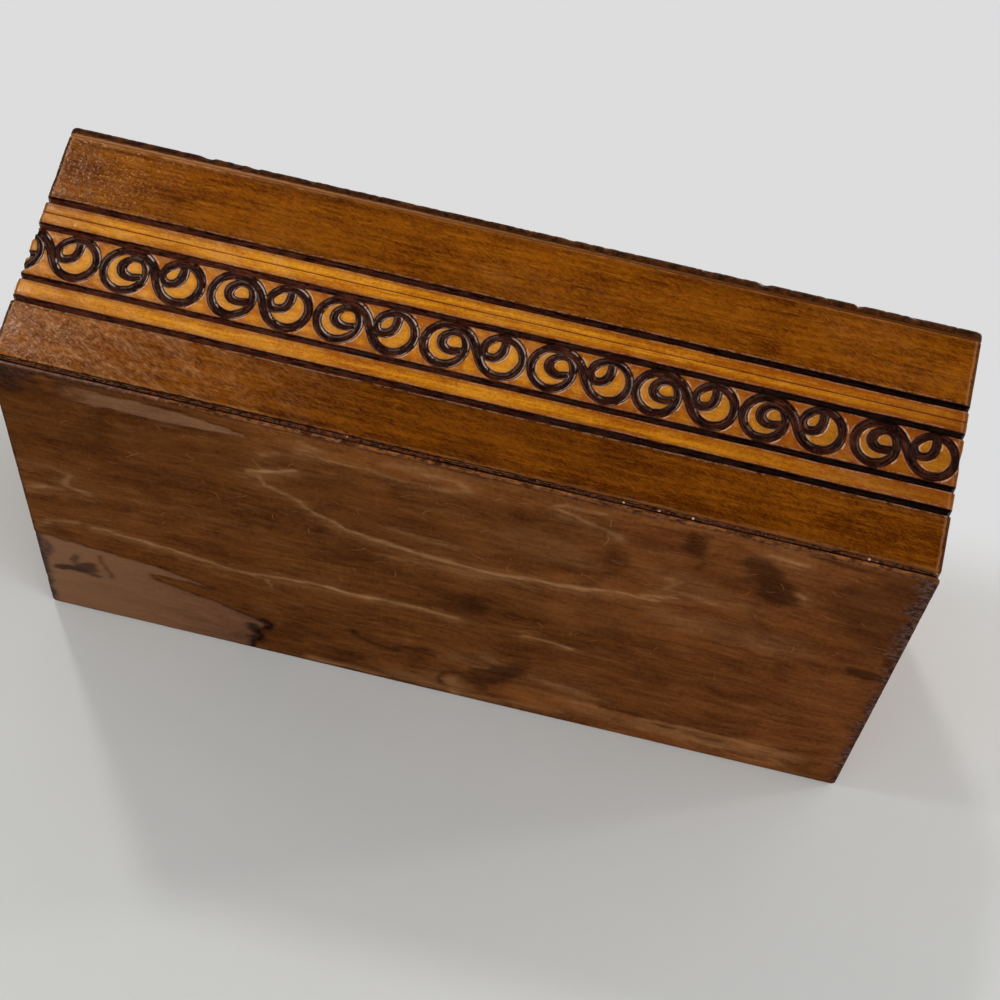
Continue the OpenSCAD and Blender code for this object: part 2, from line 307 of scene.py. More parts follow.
def wall(name, side, part, step, mats):
    """One mitred wall or rail as a closed sweep of its section."""
    n, t, half, hl, s0 = SIDES[side]
    n, t = np.array(n, float), np.array(t, float)
    back = side == "back"
    sgn = -1.0 if part == "base" else 1.0       # from the saw cut towards the board
    low, top = rows_for(part)
    if back:
        outer = np.array(low + [35.5] if part == "base" else low + [39.3])
        outer = np.array(sorted(set(np.round(outer, 4)), reverse=part != "base"))
    else:
        outer = np.array(low + top)
        outer = np.array(sorted(set(np.round(outer, 4)), reverse=part != "base"))

    # columns: straight ones by u, corner ones by their share of the corner zone
    straight = list(np.linspace(-(hl - ZONE), hl - ZONE, int(2 * (hl - ZONE) / step) + 1))
    if back:
        for cx in (-HINGE_X, HINGE_X):
            for e, w in ((-1, 0.6), (1, 0.6)):
                edge = cx + e * HINGE_W / 2
                straight += [edge - 0.012, edge + 0.012, edge + e * w - 0.012, edge + e * w + 0.012]
        straight = sorted(straight)
        keep = [straight[0]]
        for u in straight[1:]:
            if u - keep[-1] > 0.02:
                keep.append(u)
        straight = keep
    kap = np.array([0.12, 0.26, 0.40, 0.52, 0.64, 0.76, 0.88, 1.0])
    cols = [("c", -1, k) for k in kap[::-1]] + [("s", 0, u) for u in straight] + [("c", 1, k) for k in kap]
    nc = len(cols)

    # perimeter position of each column
    sloc = np.array([c[2] if c[0] == "s" else c[1] * (hl - ZONE + c[2] * ZONE) for c in cols])
    S, Z = np.meshgrid(s0 + sloc, outer, indexing="ij")
    depth, sd, ring = carve(S, Z, part)
    board_edge = BOARD if part == "base" else RAIL_TOP
    h_board = np.abs(Z - board_edge)
    h_seam = np.abs(Z - (SEAM + sgn * 0.1))
    r_board = 0.62 if part == "base" else 0.55
    wear = 0.10 * noise1(S, 5.0, 301 + (part == "lid")) + 0.07 * noise1(S, 1.1, 303)
    depth = depth + rim(h_board, r_board + wear)
    if not back:
        depth = depth + rim(h_seam, 0.22 + 0.5 * wear)
    # slight unevenness of the hand-planed faces and a few dents
    depth = depth + 0.02 * (1 + noise2(S, Z, 17.0, 9.0, 305)) + 0.012 * (1 + noise2(S, Z, 3.0, 2.0, 306))

    U, V = np.empty_like(S), np.empty_like(S)
    NU, NV = np.zeros_like(S), np.ones_like(S)
    ea = np.minimum(h_board, np.where(back, 9.0, h_seam + 0.35))
    for i, (kind, sg, k) in enumerate(cols):
        if kind == "s":
            U[i], V[i] = k, 0.0
            continue
        r = corner_r(CORNER[side, sg], outer)
        total = (ZONE - r) + r * math.pi / 4
        along = k * total
        th = np.clip((along - (ZONE - r)) / r, 0, math.pi / 4)
        flat = np.minimum(along, ZONE - r)
        U[i] = sg * (hl - ZONE + flat + r * np.sin(th))
        V[i] = -r + r * np.cos(th)
        NU[i], NV[i] = sg * np.sin(th), np.cos(th)
    U, V = U - NU * depth, V - NV * depth

    # the part of the section beyond the outer rows: (v, z) points shared by all columns
    zs = SEAM + sgn * 0.1
    zb = board_edge
    if back:
        def seg(a, b, m):
            k = np.linspace(0, 1, m + 1)[1:, None]
            return np.array(a) + (np.array(b) - np.array(a)) * k

        h = 1.9
        a0 = (0.0, h)                                      # (v, h) with h away from the cut
        e = (-0.42, h - 0.42 * h / 1.7)
        plain = np.concatenate([seg(a0, e, 3), seg(e, (-1.61, 0.1), 5), seg((-1.61, 0.1), (-2.994, 0.1), 7),
                                seg((-2.994, 0.1), (-6.985, 0.1), 6), [(-7.0, 0.1)], seg((-7.0, 0.1), (-8.0, 0.1), 2)])
        cv, rr = -1.5, 1.65
        a_start = math.atan2(e[1], e[0] - cv)              # angle of e seen from the axis
        re = math.hypot(e[0] - cv, e[1])
        a_end = math.atan2(0.7, -math.sqrt(rr * rr - 0.49))
        ang = np.linspace(a_start, a_end, 13)[1:]
        rad = np.linspace(re, rr, 13)[1:]
        rad[3:] = rr
        pocket = np.stack([cv + rad * np.cos(ang), rad * np.sin(ang)], 1)
        room = np.concatenate([seg(a0, e, 3), pocket, seg(pocket[-1], (-6.985, 0.7), 6), [(-7.0, 0.1)],
                               seg((-7.0, 0.1), (-8.0, 0.1), 2)])
        barrel = np.concatenate([seg(a0, e, 3), pocket[:-1], [(-2.994, 0.1)], seg((-2.994, 0.1), (-6.985, 0.1), 6),
                                 [(-7.0, 0.1)], seg((-7.0, 0.1), (-8.0, 0.1), 2)])
        assert plain.shape == room.shape == barrel.shape
        extra = np.empty((nc, len(plain), 2))
        for i, (kind, sg, k) in enumerate(cols):
            x = sloc[i]
            near = min(abs(x - HINGE_X), abs(x + HINGE_X))
            extra[i] = room if near < HINGE_W / 2 else barrel if near < HINGE_W / 2 + 0.6 else plain
    else:
        one = np.array([(-0.7, 0.1), (-3.0, 0.1), (-5.5, 0.1), (-7.6, 0.1), (-7.85, 0.14), (-8.0, 0.3)])
        extra = np.repeat(one[None], nc, 0)
    ev = extra[:, :, 0]
    ez = SEAM + sgn * extra[:, :, 1]
    # inside face and the face on the board
    span = abs(zb - zs)
    inner_h = [0.12 * span, 0.4 * span, 0.7 * span, span]
    iv = np.array([-8.0] * 4 + [-5.0, -2.5])
    iz = np.array([zs + sgn * q for q in inner_h] + [zb, zb])
    tail_v, tail_z = np.repeat(iv[None], nc, 0), np.repeat(iz[None], nc, 0)

    def near_end(v):
        """u on each column at depth v; the last 16 mm lean into the mitre."""
        u = sloc[:, None] * np.ones_like(v)
        a = np.abs(u)
        k = np.clip(a - (hl - 16), 0, None)
        return np.sign(u) * (np.minimum(a, hl - 16) + k * (16 + v) / 16)

    vv = np.concatenate([V, ev, tail_v], 1)
    zz = np.concatenate([np.repeat(outer[None], nc, 0), ez, tail_z], 1)
    uu = np.concatenate([U, near_end(ev), near_end(tail_v)], 1)
    m = uu.shape[1]

    # the side walls end under the bevel at the back
    if side in ("left", "right"):
        yy = uu if side == "right" else -uu
        hmin = np.maximum(0.1, (yy - 62.3) / 1.7 * 1.9)       # the bevel's height at that depth
        hgt = np.abs(zz - SEAM)
        h0 = 2.5 if part == "base" else 2.3
        hgt = np.where(hgt < h0, hmin + (h0 - hmin) * (hgt - 0.1) / (h0 - 0.1), hgt)
        zz = SEAM + sgn * hgt

    xy = n[None, None, :] * (half + vv[..., None]) + t[None, None, :] * uu[..., None]
    verts = np.concatenate([xy, zz[..., None]], 2).reshape(-1, 3)

    idx = np.arange(nc * m).reshape(nc, m)
    nxt = np.roll(idx, -1, 1)
    quads = np.stack([idx[:-1], idx[1:], nxt[1:], nxt[:-1]], -1).reshape(-1, 4)
    first, last = idx[0].tolist(), idx[-1].tolist()
    if part == "base":
        faces = quads.tolist() + [first[::-1], last]
    else:
        faces = quads[:, ::-1].tolist() + [first, last[::-1]]
    # materials: 0 lacquered outside, 1 bare wood inside and on the cut
    no = len(outer)
    fm = np.zeros((nc - 1, m), np.int32)
    fm[:, no + (8 if back else 1):] = 1
    fm = np.concatenate([fm.reshape(-1), [1, 1]])

    def full(a, fill):
        out = np.full((nc, m), fill, float)
        out[:, :no] = a
        return out.reshape(-1)

    light = (Z > 16.05) & (Z < 40.55)
    lum, rub_and_sheen = tone(side, S, Z)
    # sideways slope of the burnt lines; the lacquer uses it to put painted highlights on the walls that face the main
    # lamp
    bank = np.zeros_like(sd)
    bank[1:-1] = (sd[2:] - sd[:-2]) / np.maximum(S[2:] - S[:-2], 0.05)
    mitre = np.maximum(hl - np.abs(np.repeat(sloc[:, None], len(outer), 1)), 0.0)
    # where painted glints go: the left end of the front's brown bands
    glint_fleck = smooth(-58, -98, S) * ~light if side == "front" else np.zeros_like(S)
    attrs = {"sd": full(sd, 3.0), "ring": full(ring, 9.0), "ea": full(ea, 3.0),
             "light": full(light.astype(float), 0.0), "lum": full(lum, 0.5), "rub_and_sheen": full(rub_and_sheen, 0.0),
             "glint_fleck": full(glint_fleck, 0.0), "bank": full(np.clip(bank, -1, 1), 0.0), "mitre": full(mitre, 9.0)}
    ob = mesh(name, verts, faces, mats, fm, attrs)
    return ob


# ---------------------------------------------------------------- boards

CORNER_R = 1.2


def axis_lines(half, inset, step, dense):
    """Grid lines across one side, closer near the edges."""
    near = [half - inset - q for q in (0.0, 0.35, 0.7, 1.1, 1.6, 2.2, 3.0)]
    inner = near[-1] - dense
    n = int(round(2 * inner / step))
    mid = np.linspace(-inner, inner, n + 1)
    return np.array(sorted([-q for q in near] + list(mid) + near))


def rounded(x, y, a, b, r=CORNER_R):
    """Points of a square-cornered plan with half sides a and b, moved onto one with round corners."""
    x, y = np.array(x, float), np.array(y, float)
    dx, dy = np.abs(x) - (a - r), np.abs(y) - (b - r)
    hit = (dx > 0) & (dy > 0)
    m = np.maximum(dx, dy)
    d = np.hypot(dx, dy) + 1e-12
    x = np.where(hit, np.sign(x) * (a - r + dx * m / d), x)
    y = np.where(hit, np.sign(y) * (b - r + dy * m / d), y)
    return x, y


def plate(name, xs, ys, z_face, z_back, rings, mats, surface, step_back=4.0, up=True):
    """A board as a closed mesh. The worked face is a grid on xs and ys at z_face, rings are
    (inset, z) round its edge from that face to the other one, and surface(x, y) gives the
    worked face's depth and attributes."""
    nx, ny = len(xs), len(ys)
    X, Y = np.meshgrid(xs, ys, indexing="ij")
    a, b = xs[-1], ys[-1]
    px, py = rounded(X, Y, a, b, CORNER_R - 0.4)
    depth, attrs = surface(px, py)
    sgn = 1.0 if up else -1.0
    top = np.stack([px, py, z_face - sgn * depth], 2).reshape(-1, 3)
    idx = np.arange(nx * ny).reshape(nx, ny)
    faces = [np.stack([idx[:-1, :-1], idx[1:, :-1], idx[1:, 1:], idx[:-1, 1:]], -1).reshape(-1, 4)]
    # boundary of the grid, counter-clockwise seen from above
    loop = np.concatenate([idx[:-1, 0], idx[-1, :-1], idx[:0:-1, -1], idx[0, :0:-1]])
    bx = np.concatenate([X[:-1, 0], X[-1, :-1], X[:0:-1, -1], X[0, :0:-1]]) / a
    by = np.concatenate([Y[:-1, 0], Y[-1, :-1], Y[:0:-1, -1], Y[0, :0:-1]]) / b
    verts = [top]
    count = len(top)
    prev = loop
    side = []
    for inset, z in rings:
        inset = inset(bx * HL, by * HD) if callable(inset) else np.full(len(bx), float(inset))
        ra, rb = HL - inset, HD - inset
        qx, qy = bx * HL, by * HD
        qx, qy = rounded(qx, qy, HL, HD)
        qx, qy = qx * ra / HL, qy * rb / HD
        zz = z(bx * HL, by * HD) if callable(z) else np.full(len(bx), float(z))
        verts.append(np.stack([qx, qy, zz], 1))
        cur = count + np.arange(len(bx))
        count += len(bx)
        side.append(np.stack([prev, cur, np.roll(cur, -1), np.roll(prev, -1)], 1))
        prev = cur
    # the other face: one ring of quads, then one flat polygon
    last = verts[-1]
    inner = last * np.array([0.93, 0.9, 1.0])
    inner[:, 2] = z_back
    verts.append(inner)
    cur = count + np.arange(len(bx))
    count += len(bx)
    back = np.stack([prev, cur, np.roll(cur, -1), np.roll(prev, -1)], 1)
    faces_all = np.concatenate(faces + side + [back]).tolist() + [cur[::-1].tolist()]
    if not up:
        faces_all = [f[::-1] for f in faces_all]
    nf = len(faces[0]) + sum(len(q) for q in side)
    fm = [0] * nf + [1] * (len(back) + 1)
    total = sum(len(v) for v in verts)
    out = {}
    for key, (val, fill) in attrs.items():
        full = np.full(total, fill, float)
        full[:nx * ny] = val.reshape(-1)
        out[key] = full
    edge = np.zeros(total)
    edge[nx * ny:] = 1.0
    out["side"] = edge
    allv = np.concatenate(verts)
    return mesh(name, allv, faces_all, mats, fm, out)


def run_scroll(px, py, cx, cy, ang, pairs, seed):
    """Scroll distance in a band's own frame: middle (cx, cy), turned by ang degrees."""
    c, s = math.cos(math.radians(ang)), math.sin(math.radians(ang))
    u = (px - cx) * c + (py - cy) * s
    w = -(px - cx) * s + (py - cy) * c
    near = (np.abs(u) < 74) & (np.abs(w) < 7)
    sd, ring = np.full(px.shape, 3.0), np.full(px.shape, 9.0)
    if near.any():
        a, b = scroll_distance(u[near], w[near], pairs, 0.0, seed)
        sd[near], ring[near] = a, b
    return sd, ring


LID_A, LID_B, LID_C = 9.75, 15.3, 27.95     # the lid's three frame grooves, in from its edge
BAND_IN = 21.63                             # middle of the lid's scroll band, in from its edge
ROSE_R = 25.0
# Worn notches in the lid's front arris: place along the front, half width, depth
NOTCHES = [(-69.9, 1.3, 0.6), (-59.5, 1.1, 0.45), (53.2, 1.0, 0.5), (73.7, 0.9, 0.55), (10.5, 0.9, 0.35)]


def lid_surface(px, py):
    inset = np.minimum(HL - np.abs(px), HD - np.abs(py))
    sd = np.full(px.shape, 3.0)
    depth = np.zeros(px.shape)
    along = np.where(HL - np.abs(px) < HD - np.abs(py), py, px)
    for k, q in enumerate((LID_A, LID_B, LID_C)):
        hw = 0.78 * (1 + 0.07 * noise1(along, 6.0, 400 + k))
        d = np.abs(inset - q - 0.04 * noise1(along, 8.0, 410 + k))
        sd = np.minimum(sd, d - hw)
        depth = np.maximum(depth, 0.7 * (1 - smooth(0.22, 1.12, d / hw)))
    ring = np.full(px.shape, 9.0)
    ss = np.full(px.shape, 3.0)

    def pairs(n, pitch, seed):
        rng = np.random.default_rng(seed)
        start = -(n * pitch - (pitch - 12.0)) / 2
        out = []
        for k in range(n):
            a = start + k * pitch + rng.uniform(-0.12, 0.12)
            out.append((a, a + 12.0 + rng.uniform(-0.12, 0.12)))
        return out

    for cx, cy, ang, n, pitch in ((0, -(HD - BAND_IN), 0, 6, 23.6), (HL - BAND_IN, 0, 90, 3, 23.4),
                                  (0, HD - BAND_IN, 180, 6, 23.6), (-(HL - BAND_IN), 0, 270, 3, 23.4)):
        a, b = run_scroll(px, py, cx, cy, ang, pairs(n, pitch, 500 + ang), 520 + ang)
        ss, ring = np.minimum(ss, a), np.minimum(ring, b)
    # corner blocks: a ring with a small flower of four strokes
    for ex in (-1, 1):
        for ey in (-1, 1):
            qx, qy = px - ex * (HL - BAND_IN), py - ey * (HD - BAND_IN)
            r = np.hypot(qx, qy)
            ss = np.minimum(ss, np.abs(r - 4.42) - 0.81)
            ring = np.minimum(ring, r)
            for k in range(4):
                th = math.radians(45 + 90 * k)
                u = qx * math.cos(th) + qy * math.sin(th)
                w = -qx * math.sin(th) + qy * math.cos(th)
                ss = np.minimum(ss, np.hypot((u - 1.75) / 1.25, w / 0.62) - 1.0)
    # the compass rosette in the middle
    r = np.hypot(px, py)
    ss = np.minimum(ss, np.abs(r - ROSE_R) - 0.8)
    ss = np.minimum(ss, np.abs(r - 22.4) - 0.45)
    petal = np.zeros(px.shape, bool)
    medal = np.zeros(px.shape, bool)
    R = 21.6
    cs = [(R * math.cos(math.radians(60 * k)), R * math.sin(math.radians(60 * k))) for k in range(6)]
    for k in range(6):
        d = np.abs(np.hypot(px - cs[k][0], py - cs[k][1]) - R) - 0.5
        ss = np.minimum(ss, np.where(r < R + 0.2, d, 3.0))
        p, q = cs[k - 1], cs[(k + 1) % 6]
        petal |= (np.hypot(px - p[0], py - p[1]) < R) & (np.hypot(px - q[0], py - q[1]) < R) & (r < R)
    # a small eight-petalled flower in a ring on each side of it
    flank = np.full(px.shape, 3.0)
    for cx in (-47.0, 47.0):
        qx, qy = px - cx, py
        q = np.hypot(qx, qy)
        flank = np.minimum(flank, np.abs(q - 8.6) - 0.75)
        for k in range(8):
            th = math.radians(22.5 + 45 * k)
            u = qx * math.cos(th) + qy * math.sin(th)
            w = -qx * math.sin(th) + qy * math.cos(th)
            flank = np.minimum(flank, (np.hypot((u - 4.2) / 2.5, w / 0.95) - 1.0) * 0.95)
        flank = np.minimum(flank, q - 0.8)
        ring = np.minimum(ring, q * 0.5)
        medal |= q < 8.6
    ss = np.minimum(ss, flank)
    t = (ss + 0.8) / 0.8
    ds = 0.6 * (1 - smooth(0.15, 1.15, t)) * (1 + 0.10 * noise2(px, py, 0.8, 0.8, 72))
    depth = np.maximum(depth, ds)
    light = ((inset > LID_A) & (inset < LID_C)) | ((r < ROSE_R) & ~petal) | medal
    depth = depth + 0.35 * ((r < ROSE_R - 0.5) & petal) * smooth(0.0, 3.5, np.where(petal, ss, 0)) * 0.6
    depth = depth + 0.02 * (1 + noise2(px, py, 17.0, 12.0, 425))
    for x0, wide, deep in NOTCHES:
        depth = depth + deep * np.exp(-((px - x0) / wide) ** 4) * smooth(3.0, 0.4, py + HD)
    ea = HL - 0.75 - np.abs(px)
    ea = np.minimum(ea, HD - 0.75 - np.abs(py))
    return depth, {"sd": (np.minimum(sd, ss), 3.0), "ring": (ring, 9.0), "light": (light.astype(float), 0.0),
                   "ea": (ea, 0.4), "lum": (0.5 + 0.12 * noise2(px, py, 42, 15, 906), 0.5), "mitre": (np.full(px.shape, 9.0), 9.0)}


def chips(x, y, seed, spots=()):
    """How far the lid's upper arris is broken away at a point of its edge."""
    s = np.where(np.abs(y) / HD > np.abs(x) / HL, x + np.sign(y) * 400, y + np.sign(x) * 800)
    n = noise1(s, 2.4, seed)
    c = 0.42 * smooth(0.72, 0.98, n) + 0.16 * smooth(0.2, 0.9, noise1(s, 0.9, seed + 1)) + 0.05 * noise1(s, 5.0, seed + 2)
    for x0, wide, deep in spots:
        c = np.where(y < 0, c + deep * np.exp(-((x - x0) / wide) ** 4), c)
    return np.clip(c, 0, 1.0)


def lid_panel(mats):
    xs = axis_lines(HL, 0.75, 0.4, 0.5)
    ys = axis_lines(HD, 0.75, 0.4, 0.5)

    def c(x, y):
        return chips(x, y, 600, NOTCHES)

    rings = [
        (lambda x, y: 0.42 + 0.5 * c(x, y), lambda x, y: HT - 0.10 - 0.35 * c(x, y)),
        (lambda x, y: 0.18 + 0.45 * c(x, y), lambda x, y: HT - 0.32 - 0.5 * c(x, y)),
        (lambda x, y: 0.04 + 0.28 * c(x, y), lambda x, y: HT - 0.68 - 0.45 * c(x, y)),
        (0.0, 58.3),
        (0.0, 57.9),
        (0.05, 57.5),
        (0.22, 57.28),
        (0.5, RAIL_TOP),
    ]
    return plate("lid_panel_carved", xs, ys, HT, RAIL_TOP, rings, mats, lid_surface)


def lines_mask(px, py, lines):
    """Strongest of the soft strokes along polylines: (points, half width, strength)."""
    out = np.zeros(px.shape)
    for pts, w, k in lines:
        best = np.full(px.shape, 1e9)
        for (x0, y0), (x1, y1) in zip(pts[:-1], pts[1:]):
            dx, dy = x1 - x0, y1 - y0
            t = np.clip(((px - x0) * dx + (py - y0) * dy) / (dx * dx + dy * dy), 0, 1)
            best = np.minimum(best, np.hypot(px - x0 - t * dx, py - y0 - t * dy))
        out = np.maximum(out, k * np.exp(-(best / (w + 0.18)) ** 2))
    return out


def blobs(px, py, spots, seed):
    """Soft-edged stains with uneven outlines: (x, y, half length, half width, angle, strength)."""
    out = np.zeros(px.shape)
    for k, (cx, cy, ra, rb, ang, g) in enumerate(spots):
        c, s_ = math.cos(math.radians(ang)), math.sin(math.radians(ang))
        near = (np.abs(px - cx) < 2 * max(ra, rb)) & (np.abs(py - cy) < 2 * max(ra, rb))
        x, y = px[near] - cx, py[near] - cy
        u, w = x * c + y * s_, -x * s_ + y * c
        q = np.hypot(u / ra, w / rb) + 0.20 * noise2(x, y, 0.5 * rb + 0.6, 0.5 * rb + 0.6, seed + k) + 0.10 * noise2(x, y, 0.9, 0.6, seed + 50 + k)
        out[near] = np.maximum(out[near], g * smooth(1.28, 0.62, q))
    return out


def board_surface(px, py):
    """Figure of the underside. x from the middle, v from the front edge."""
    x, v = px, py + HD
    jx = x + 0.8 * noise2(x, v, 9, 5, 701) + 0.55 * noise2(x, v, 2.4, 1.6, 702)
    jv = v + 0.6 * noise2(x, v, 12, 4, 703) + 0.50 * noise2(x, v, 3.0, 1.2, 704)
    figure = [
        ([(-43, 14), (-39, 11.5)], 0.9, 0.35),
        ([(-35, 18), (-40.5, 21.5), (-43, 22.5), (-46, 24.5)], 0.55, 0.85),
        ([(-46, 24.5), (-44, 25), (-42, 28.5), (-40, 29.5), (-34, 33.7), (-31, 37.5)], 0.5, 0.6),
        ([(-31, 37.5), (-26.5, 41), (-22, 43.6), (-14, 45.5), (-6, 46.6)], 0.75, 0.62),
        ([(-6, 46.6), (1, 47.4), (6, 48), (11, 47.9), (18, 46.5)], 1.0, 0.9),
        ([(16, 46.4), (22, 45.2), (30, 44.5), (34, 42.8)], 0.85, 0.85),
        ([(34, 42.8), (42, 41.8), (45.5, 41.3)], 0.5, 0.6),
        ([(42, 40.5), (46, 39), (49.5, 37.5)], 0.6, 0.75),
        ([(47.5, 33.5), (48.5, 31), (49.5, 29.3), (47.5, 28.8)], 0.8, 0.5),
        ([(48, 34), (58, 35.5)], 1.8, 0.3),
        ([(-16.5, 51), (-4, 50.8), (1, 51.5), (8, 51.5)], 0.7, 0.32),
        ([(-14, 37), (-6, 38.6), (2, 38.4)], 1.2, 0.25),
        ([(-34, 9.6), (-26.5, 8.8), (-19, 9.5), (-14, 10.8), (-3, 10.8), (3, 8.2)], 0.6, 0.5),
        ([(-33, 4), (-30, 6), (-34, 7.5)], 1.2, 0.4),
        ([(-16, 4), (-13, 3.4), (-7, 3.4)], 0.6, 0.55),
        ([(-7.5, 5), (-5, 6.6)], 0.5, 0.6),
        ([(-6, 5.2), (0, 5.8), (3.2, 7.8)], 0.5, 0.55),
        ([(20.5, 5.5), (22.5, 3.9), (27, 4.8), (31.5, 3.8)], 0.7, 0.6),
        ([(20.5, 6.4), (23.5, 8.5), (27.5, 10.3), (34, 13.4)], 0.6, 0.6),
        ([(21.5, 10.3), (23.5, 11)], 0.5, 0.6),
        ([(66, 6), (69.5, 6.2), (72.5, 6.8)], 1.3, 0.75),
        ([(70, 8.6), (73, 8.9)], 0.7, 0.45),
        ([(74, 21.5), (75, 22.5)], 0.7, 0.6),
        ([(-99, 45.6), (-92, 45.5), (-87.5, 48)], 0.6, 0.4),
        ([(-87.5, 48), (-89.5, 52.5), (-89, 54), (-83.5, 56)], 0.8, 0.65),
        ([(-99, 59.5), (-94, 57.5), (-90.5, 56.5)], 0.9, 0.5),
        ([(-99, 82), (-96.5, 79), (-94.5, 76.5), (-88, 74)], 0.8, 0.4),
        ([(-84, 74.5), (-80.5, 75), (-74, 75.6), (-67, 77), (-59, 79.3), (-52, 80.3), (-45.5, 80.5), (-43, 79.5), (-34, 78.3)], 0.6, 0.8),
        ([(-43, 82), (-42, 85.5)], 0.5, 0.5),
        ([(-34, 78.3), (-27.5, 77.5), (-19, 78), (-6, 77.8), (2, 78.4)], 0.65, 0.65),
        ([(-28.5, 77.6), (-26.5, 77.7)], 1.0, 0.8),
        ([(18, 79.3), (25, 79.6), (30, 80.8)], 0.55, 0.65),
        ([(50, 113.8), (56, 114.2), (66, 113.6), (76, 114.2), (84, 113.8)], 0.8, 0.45),
        ([(62, 119), (66, 120.6), (70, 120)], 1.5, 0.6),
        ([(34, 117), (42, 119.5)], 1.8, 0.4),
        ([(76, 115.5), (86, 116.5)], 1.6, 0.5),
        ([(82, 119), (86, 123)], 0.9, 0.45),
        ([(2.5, 118.5), (3, 126)], 1.9, 0.65),
        ([(26, 105), (34, 107)], 2.6, 0.35),
        ([(10, 98), (14, 101)], 1.6, 0.3),
        ([(6, 125), (30, 123)], 1.6, 0.3),
        ([(-34, 125.4), (-22, 125.6), (-14, 125.8)], 1.1, 0.6),
        ([(-12, 123.5), (-1, 123)], 2.4, 0.4),
        ([(3, 103), (12, 105)], 2.0, 0.25),
        ([(-19, 78.6), (-27, 77.6), (-34, 78.3)], 0.4, 0.95),
        ([(-31, 37.5), (-22, 43.6), (-6, 46.6), (6, 48), (18, 46.5), (30, 44.5), (34, 42.8)], 0.28, 1.0),
        ([(2, 120), (4, 123)], 2.6, 0.6),
    ]
    pale = lines_mask(jx, jv, figure)
    wide = lines_mask(jx, jv - 0.9, [(pts, 2.6 * w + 0.7, 0.34 * k) for pts, w, k in figure])
    pale = np.maximum(pale, wide * (0.75 + 0.6 * noise2(x, v, 6, 0.8, 761)))
    pale = np.maximum(pale, blobs(jx, jv, [
        (60.0, 118.0, 17.0, 4.2, 3, 0.34), (40.0, 116.0, 9.0, 3.4, 15, 0.28), (82.0, 116.5, 9.0, 3.6, 0, 0.34),
        (78.0, 123.5, 8.0, 2.4, 5, 0.24), (3.0, 121.5, 5.5, 2.6, 95, 0.45), (30.0, 106.0, 12.0, 3.2, 15, 0.22),
        (63.0, 50.0, 20.0, 7.0, 5, 0.14), (20.0, 27.0, 12.0, 8.0, 0, 0.10), (55.0, 30.0, 16.0, 5.0, 20, 0.14),
    ], 760))
    pale = 1.25 * pale * (0.84 + 0.40 * noise2(x, v, 4.5, 0.8, 708)) + 0.10 * smooth(0.35, 0.9, noise2(x, v, 9, 1.6, 709))
    dark = lines_mask(jx, jv, [
        ([(53, 17), (53.2, 20)], 0.8, 0.5),
        ([(34.5, 18), (35.5, 25), (34.5, 34), (31, 40.5), (27.5, 42.5)], 0.8, 0.4),
        ([(22.5, 26), (24.5, 22), (28.5, 19)], 0.8, 0.28),
        ([(24, 29), (28, 34)], 3.0, 0.14),
        ([(66.5, 31), (67, 36), (68.5, 41)], 1.6, 0.3),
        ([(8.2, 66), (8.8, 71)], 0.6, 0.55),
        ([(13.5, 69.3), (16, 68.6)], 0.7, 0.5),
        ([(-0.4, 121.5), (-0.6, 116), (1.0, 113.6), (4.5, 112.2)], 0.7, 0.75),
        ([(-22.5, 101), (-21.6, 104.6), (-17.5, 106.7), (-12.5, 107.3), (-10.8, 104.8), (-4, 102.4)], 1.1, 0.85),
        ([(-19.5, 101.5), (-20, 103.5)], 0.8, 0.35),
        ([(-9, 104.7), (-2, 105.3)], 0.55, 0.7),
        ([(5, 103.5), (8.5, 103.8)], 0.6, 0.45),
        ([(22.5, 103.6), (25.5, 102), (33, 104.4)], 0.5, 0.4),
        ([(-98.5, 85.2), (-92, 86.1), (-82, 87.6), (-74, 88.9), (-70, 90)], 0.7, 0.35),
        ([(-70, 90), (-64, 92), (-57.7, 94.6)], 0.6, 0.75),
        ([(-58.6, 94.4), (-57.4, 94.9)], 0.7, 0.8),
        ([(-59, 95), (-67, 95.3), (-72.5, 95.2), (-73.2, 96), (-72, 98)], 0.6, 0.5),
        ([(-72, 98.2), (-65, 100.4), (-59, 102.4), (-54, 104.8)], 0.6, 0.8),
        ([(-54, 104.8), (-49, 107), (-45, 108.4)], 0.65, 1.0),
        ([(-45, 108.4), (-43.6, 110), (-44.1, 112.6)], 1.7, 1.4),
        ([(-47.6, 113.2), (-47, 116), (-46.6, 118.6), (-48, 121)], 1.7, 1.4),
        ([(-48, 121), (-49, 126.5)], 1.1, 1.1),
        ([(-50, 117), (-52, 124)], 1.2, 0.3),
        ([(-84.9, 91.8), (-83.7, 98), (-82.5, 103.6)], 0.5, 0.75),
        ([(40, 112), (50, 112)], 0.7, 0.6),
        ([(50, 112.2), (68, 112), (86, 112)], 0.45, 0.4),
        ([(36, 106.5), (44, 107.5)], 0.8, 0.3),
        ([(52, 98.5), (55, 97.5)], 0.9, 0.3),
        ([(73, 1.0), (77.5, 1.1)], 0.35, 0.8),
        ([(78, 1.8), (90, 2.0)], 0.6, 0.55),
        ([(-100, 128), (100, 128)], 0.6, 0.6),
        ([(99.9, 48), (99.9, 128)], 1.2, 0.55),
        ([(-99.9, 88), (-99.9, 126)], 1.0, 0.7),
        ([(-31, 117.5), (-26, 118.6), (-20, 117.4)], 1.3, 0.6),
        ([(-40, 112), (-34, 108), (-29, 109)], 1.6, 0.4),
        ([(-8, 106.5), (-5, 108.5), (-8, 110.5)], 1.2, 0.35),
    ])
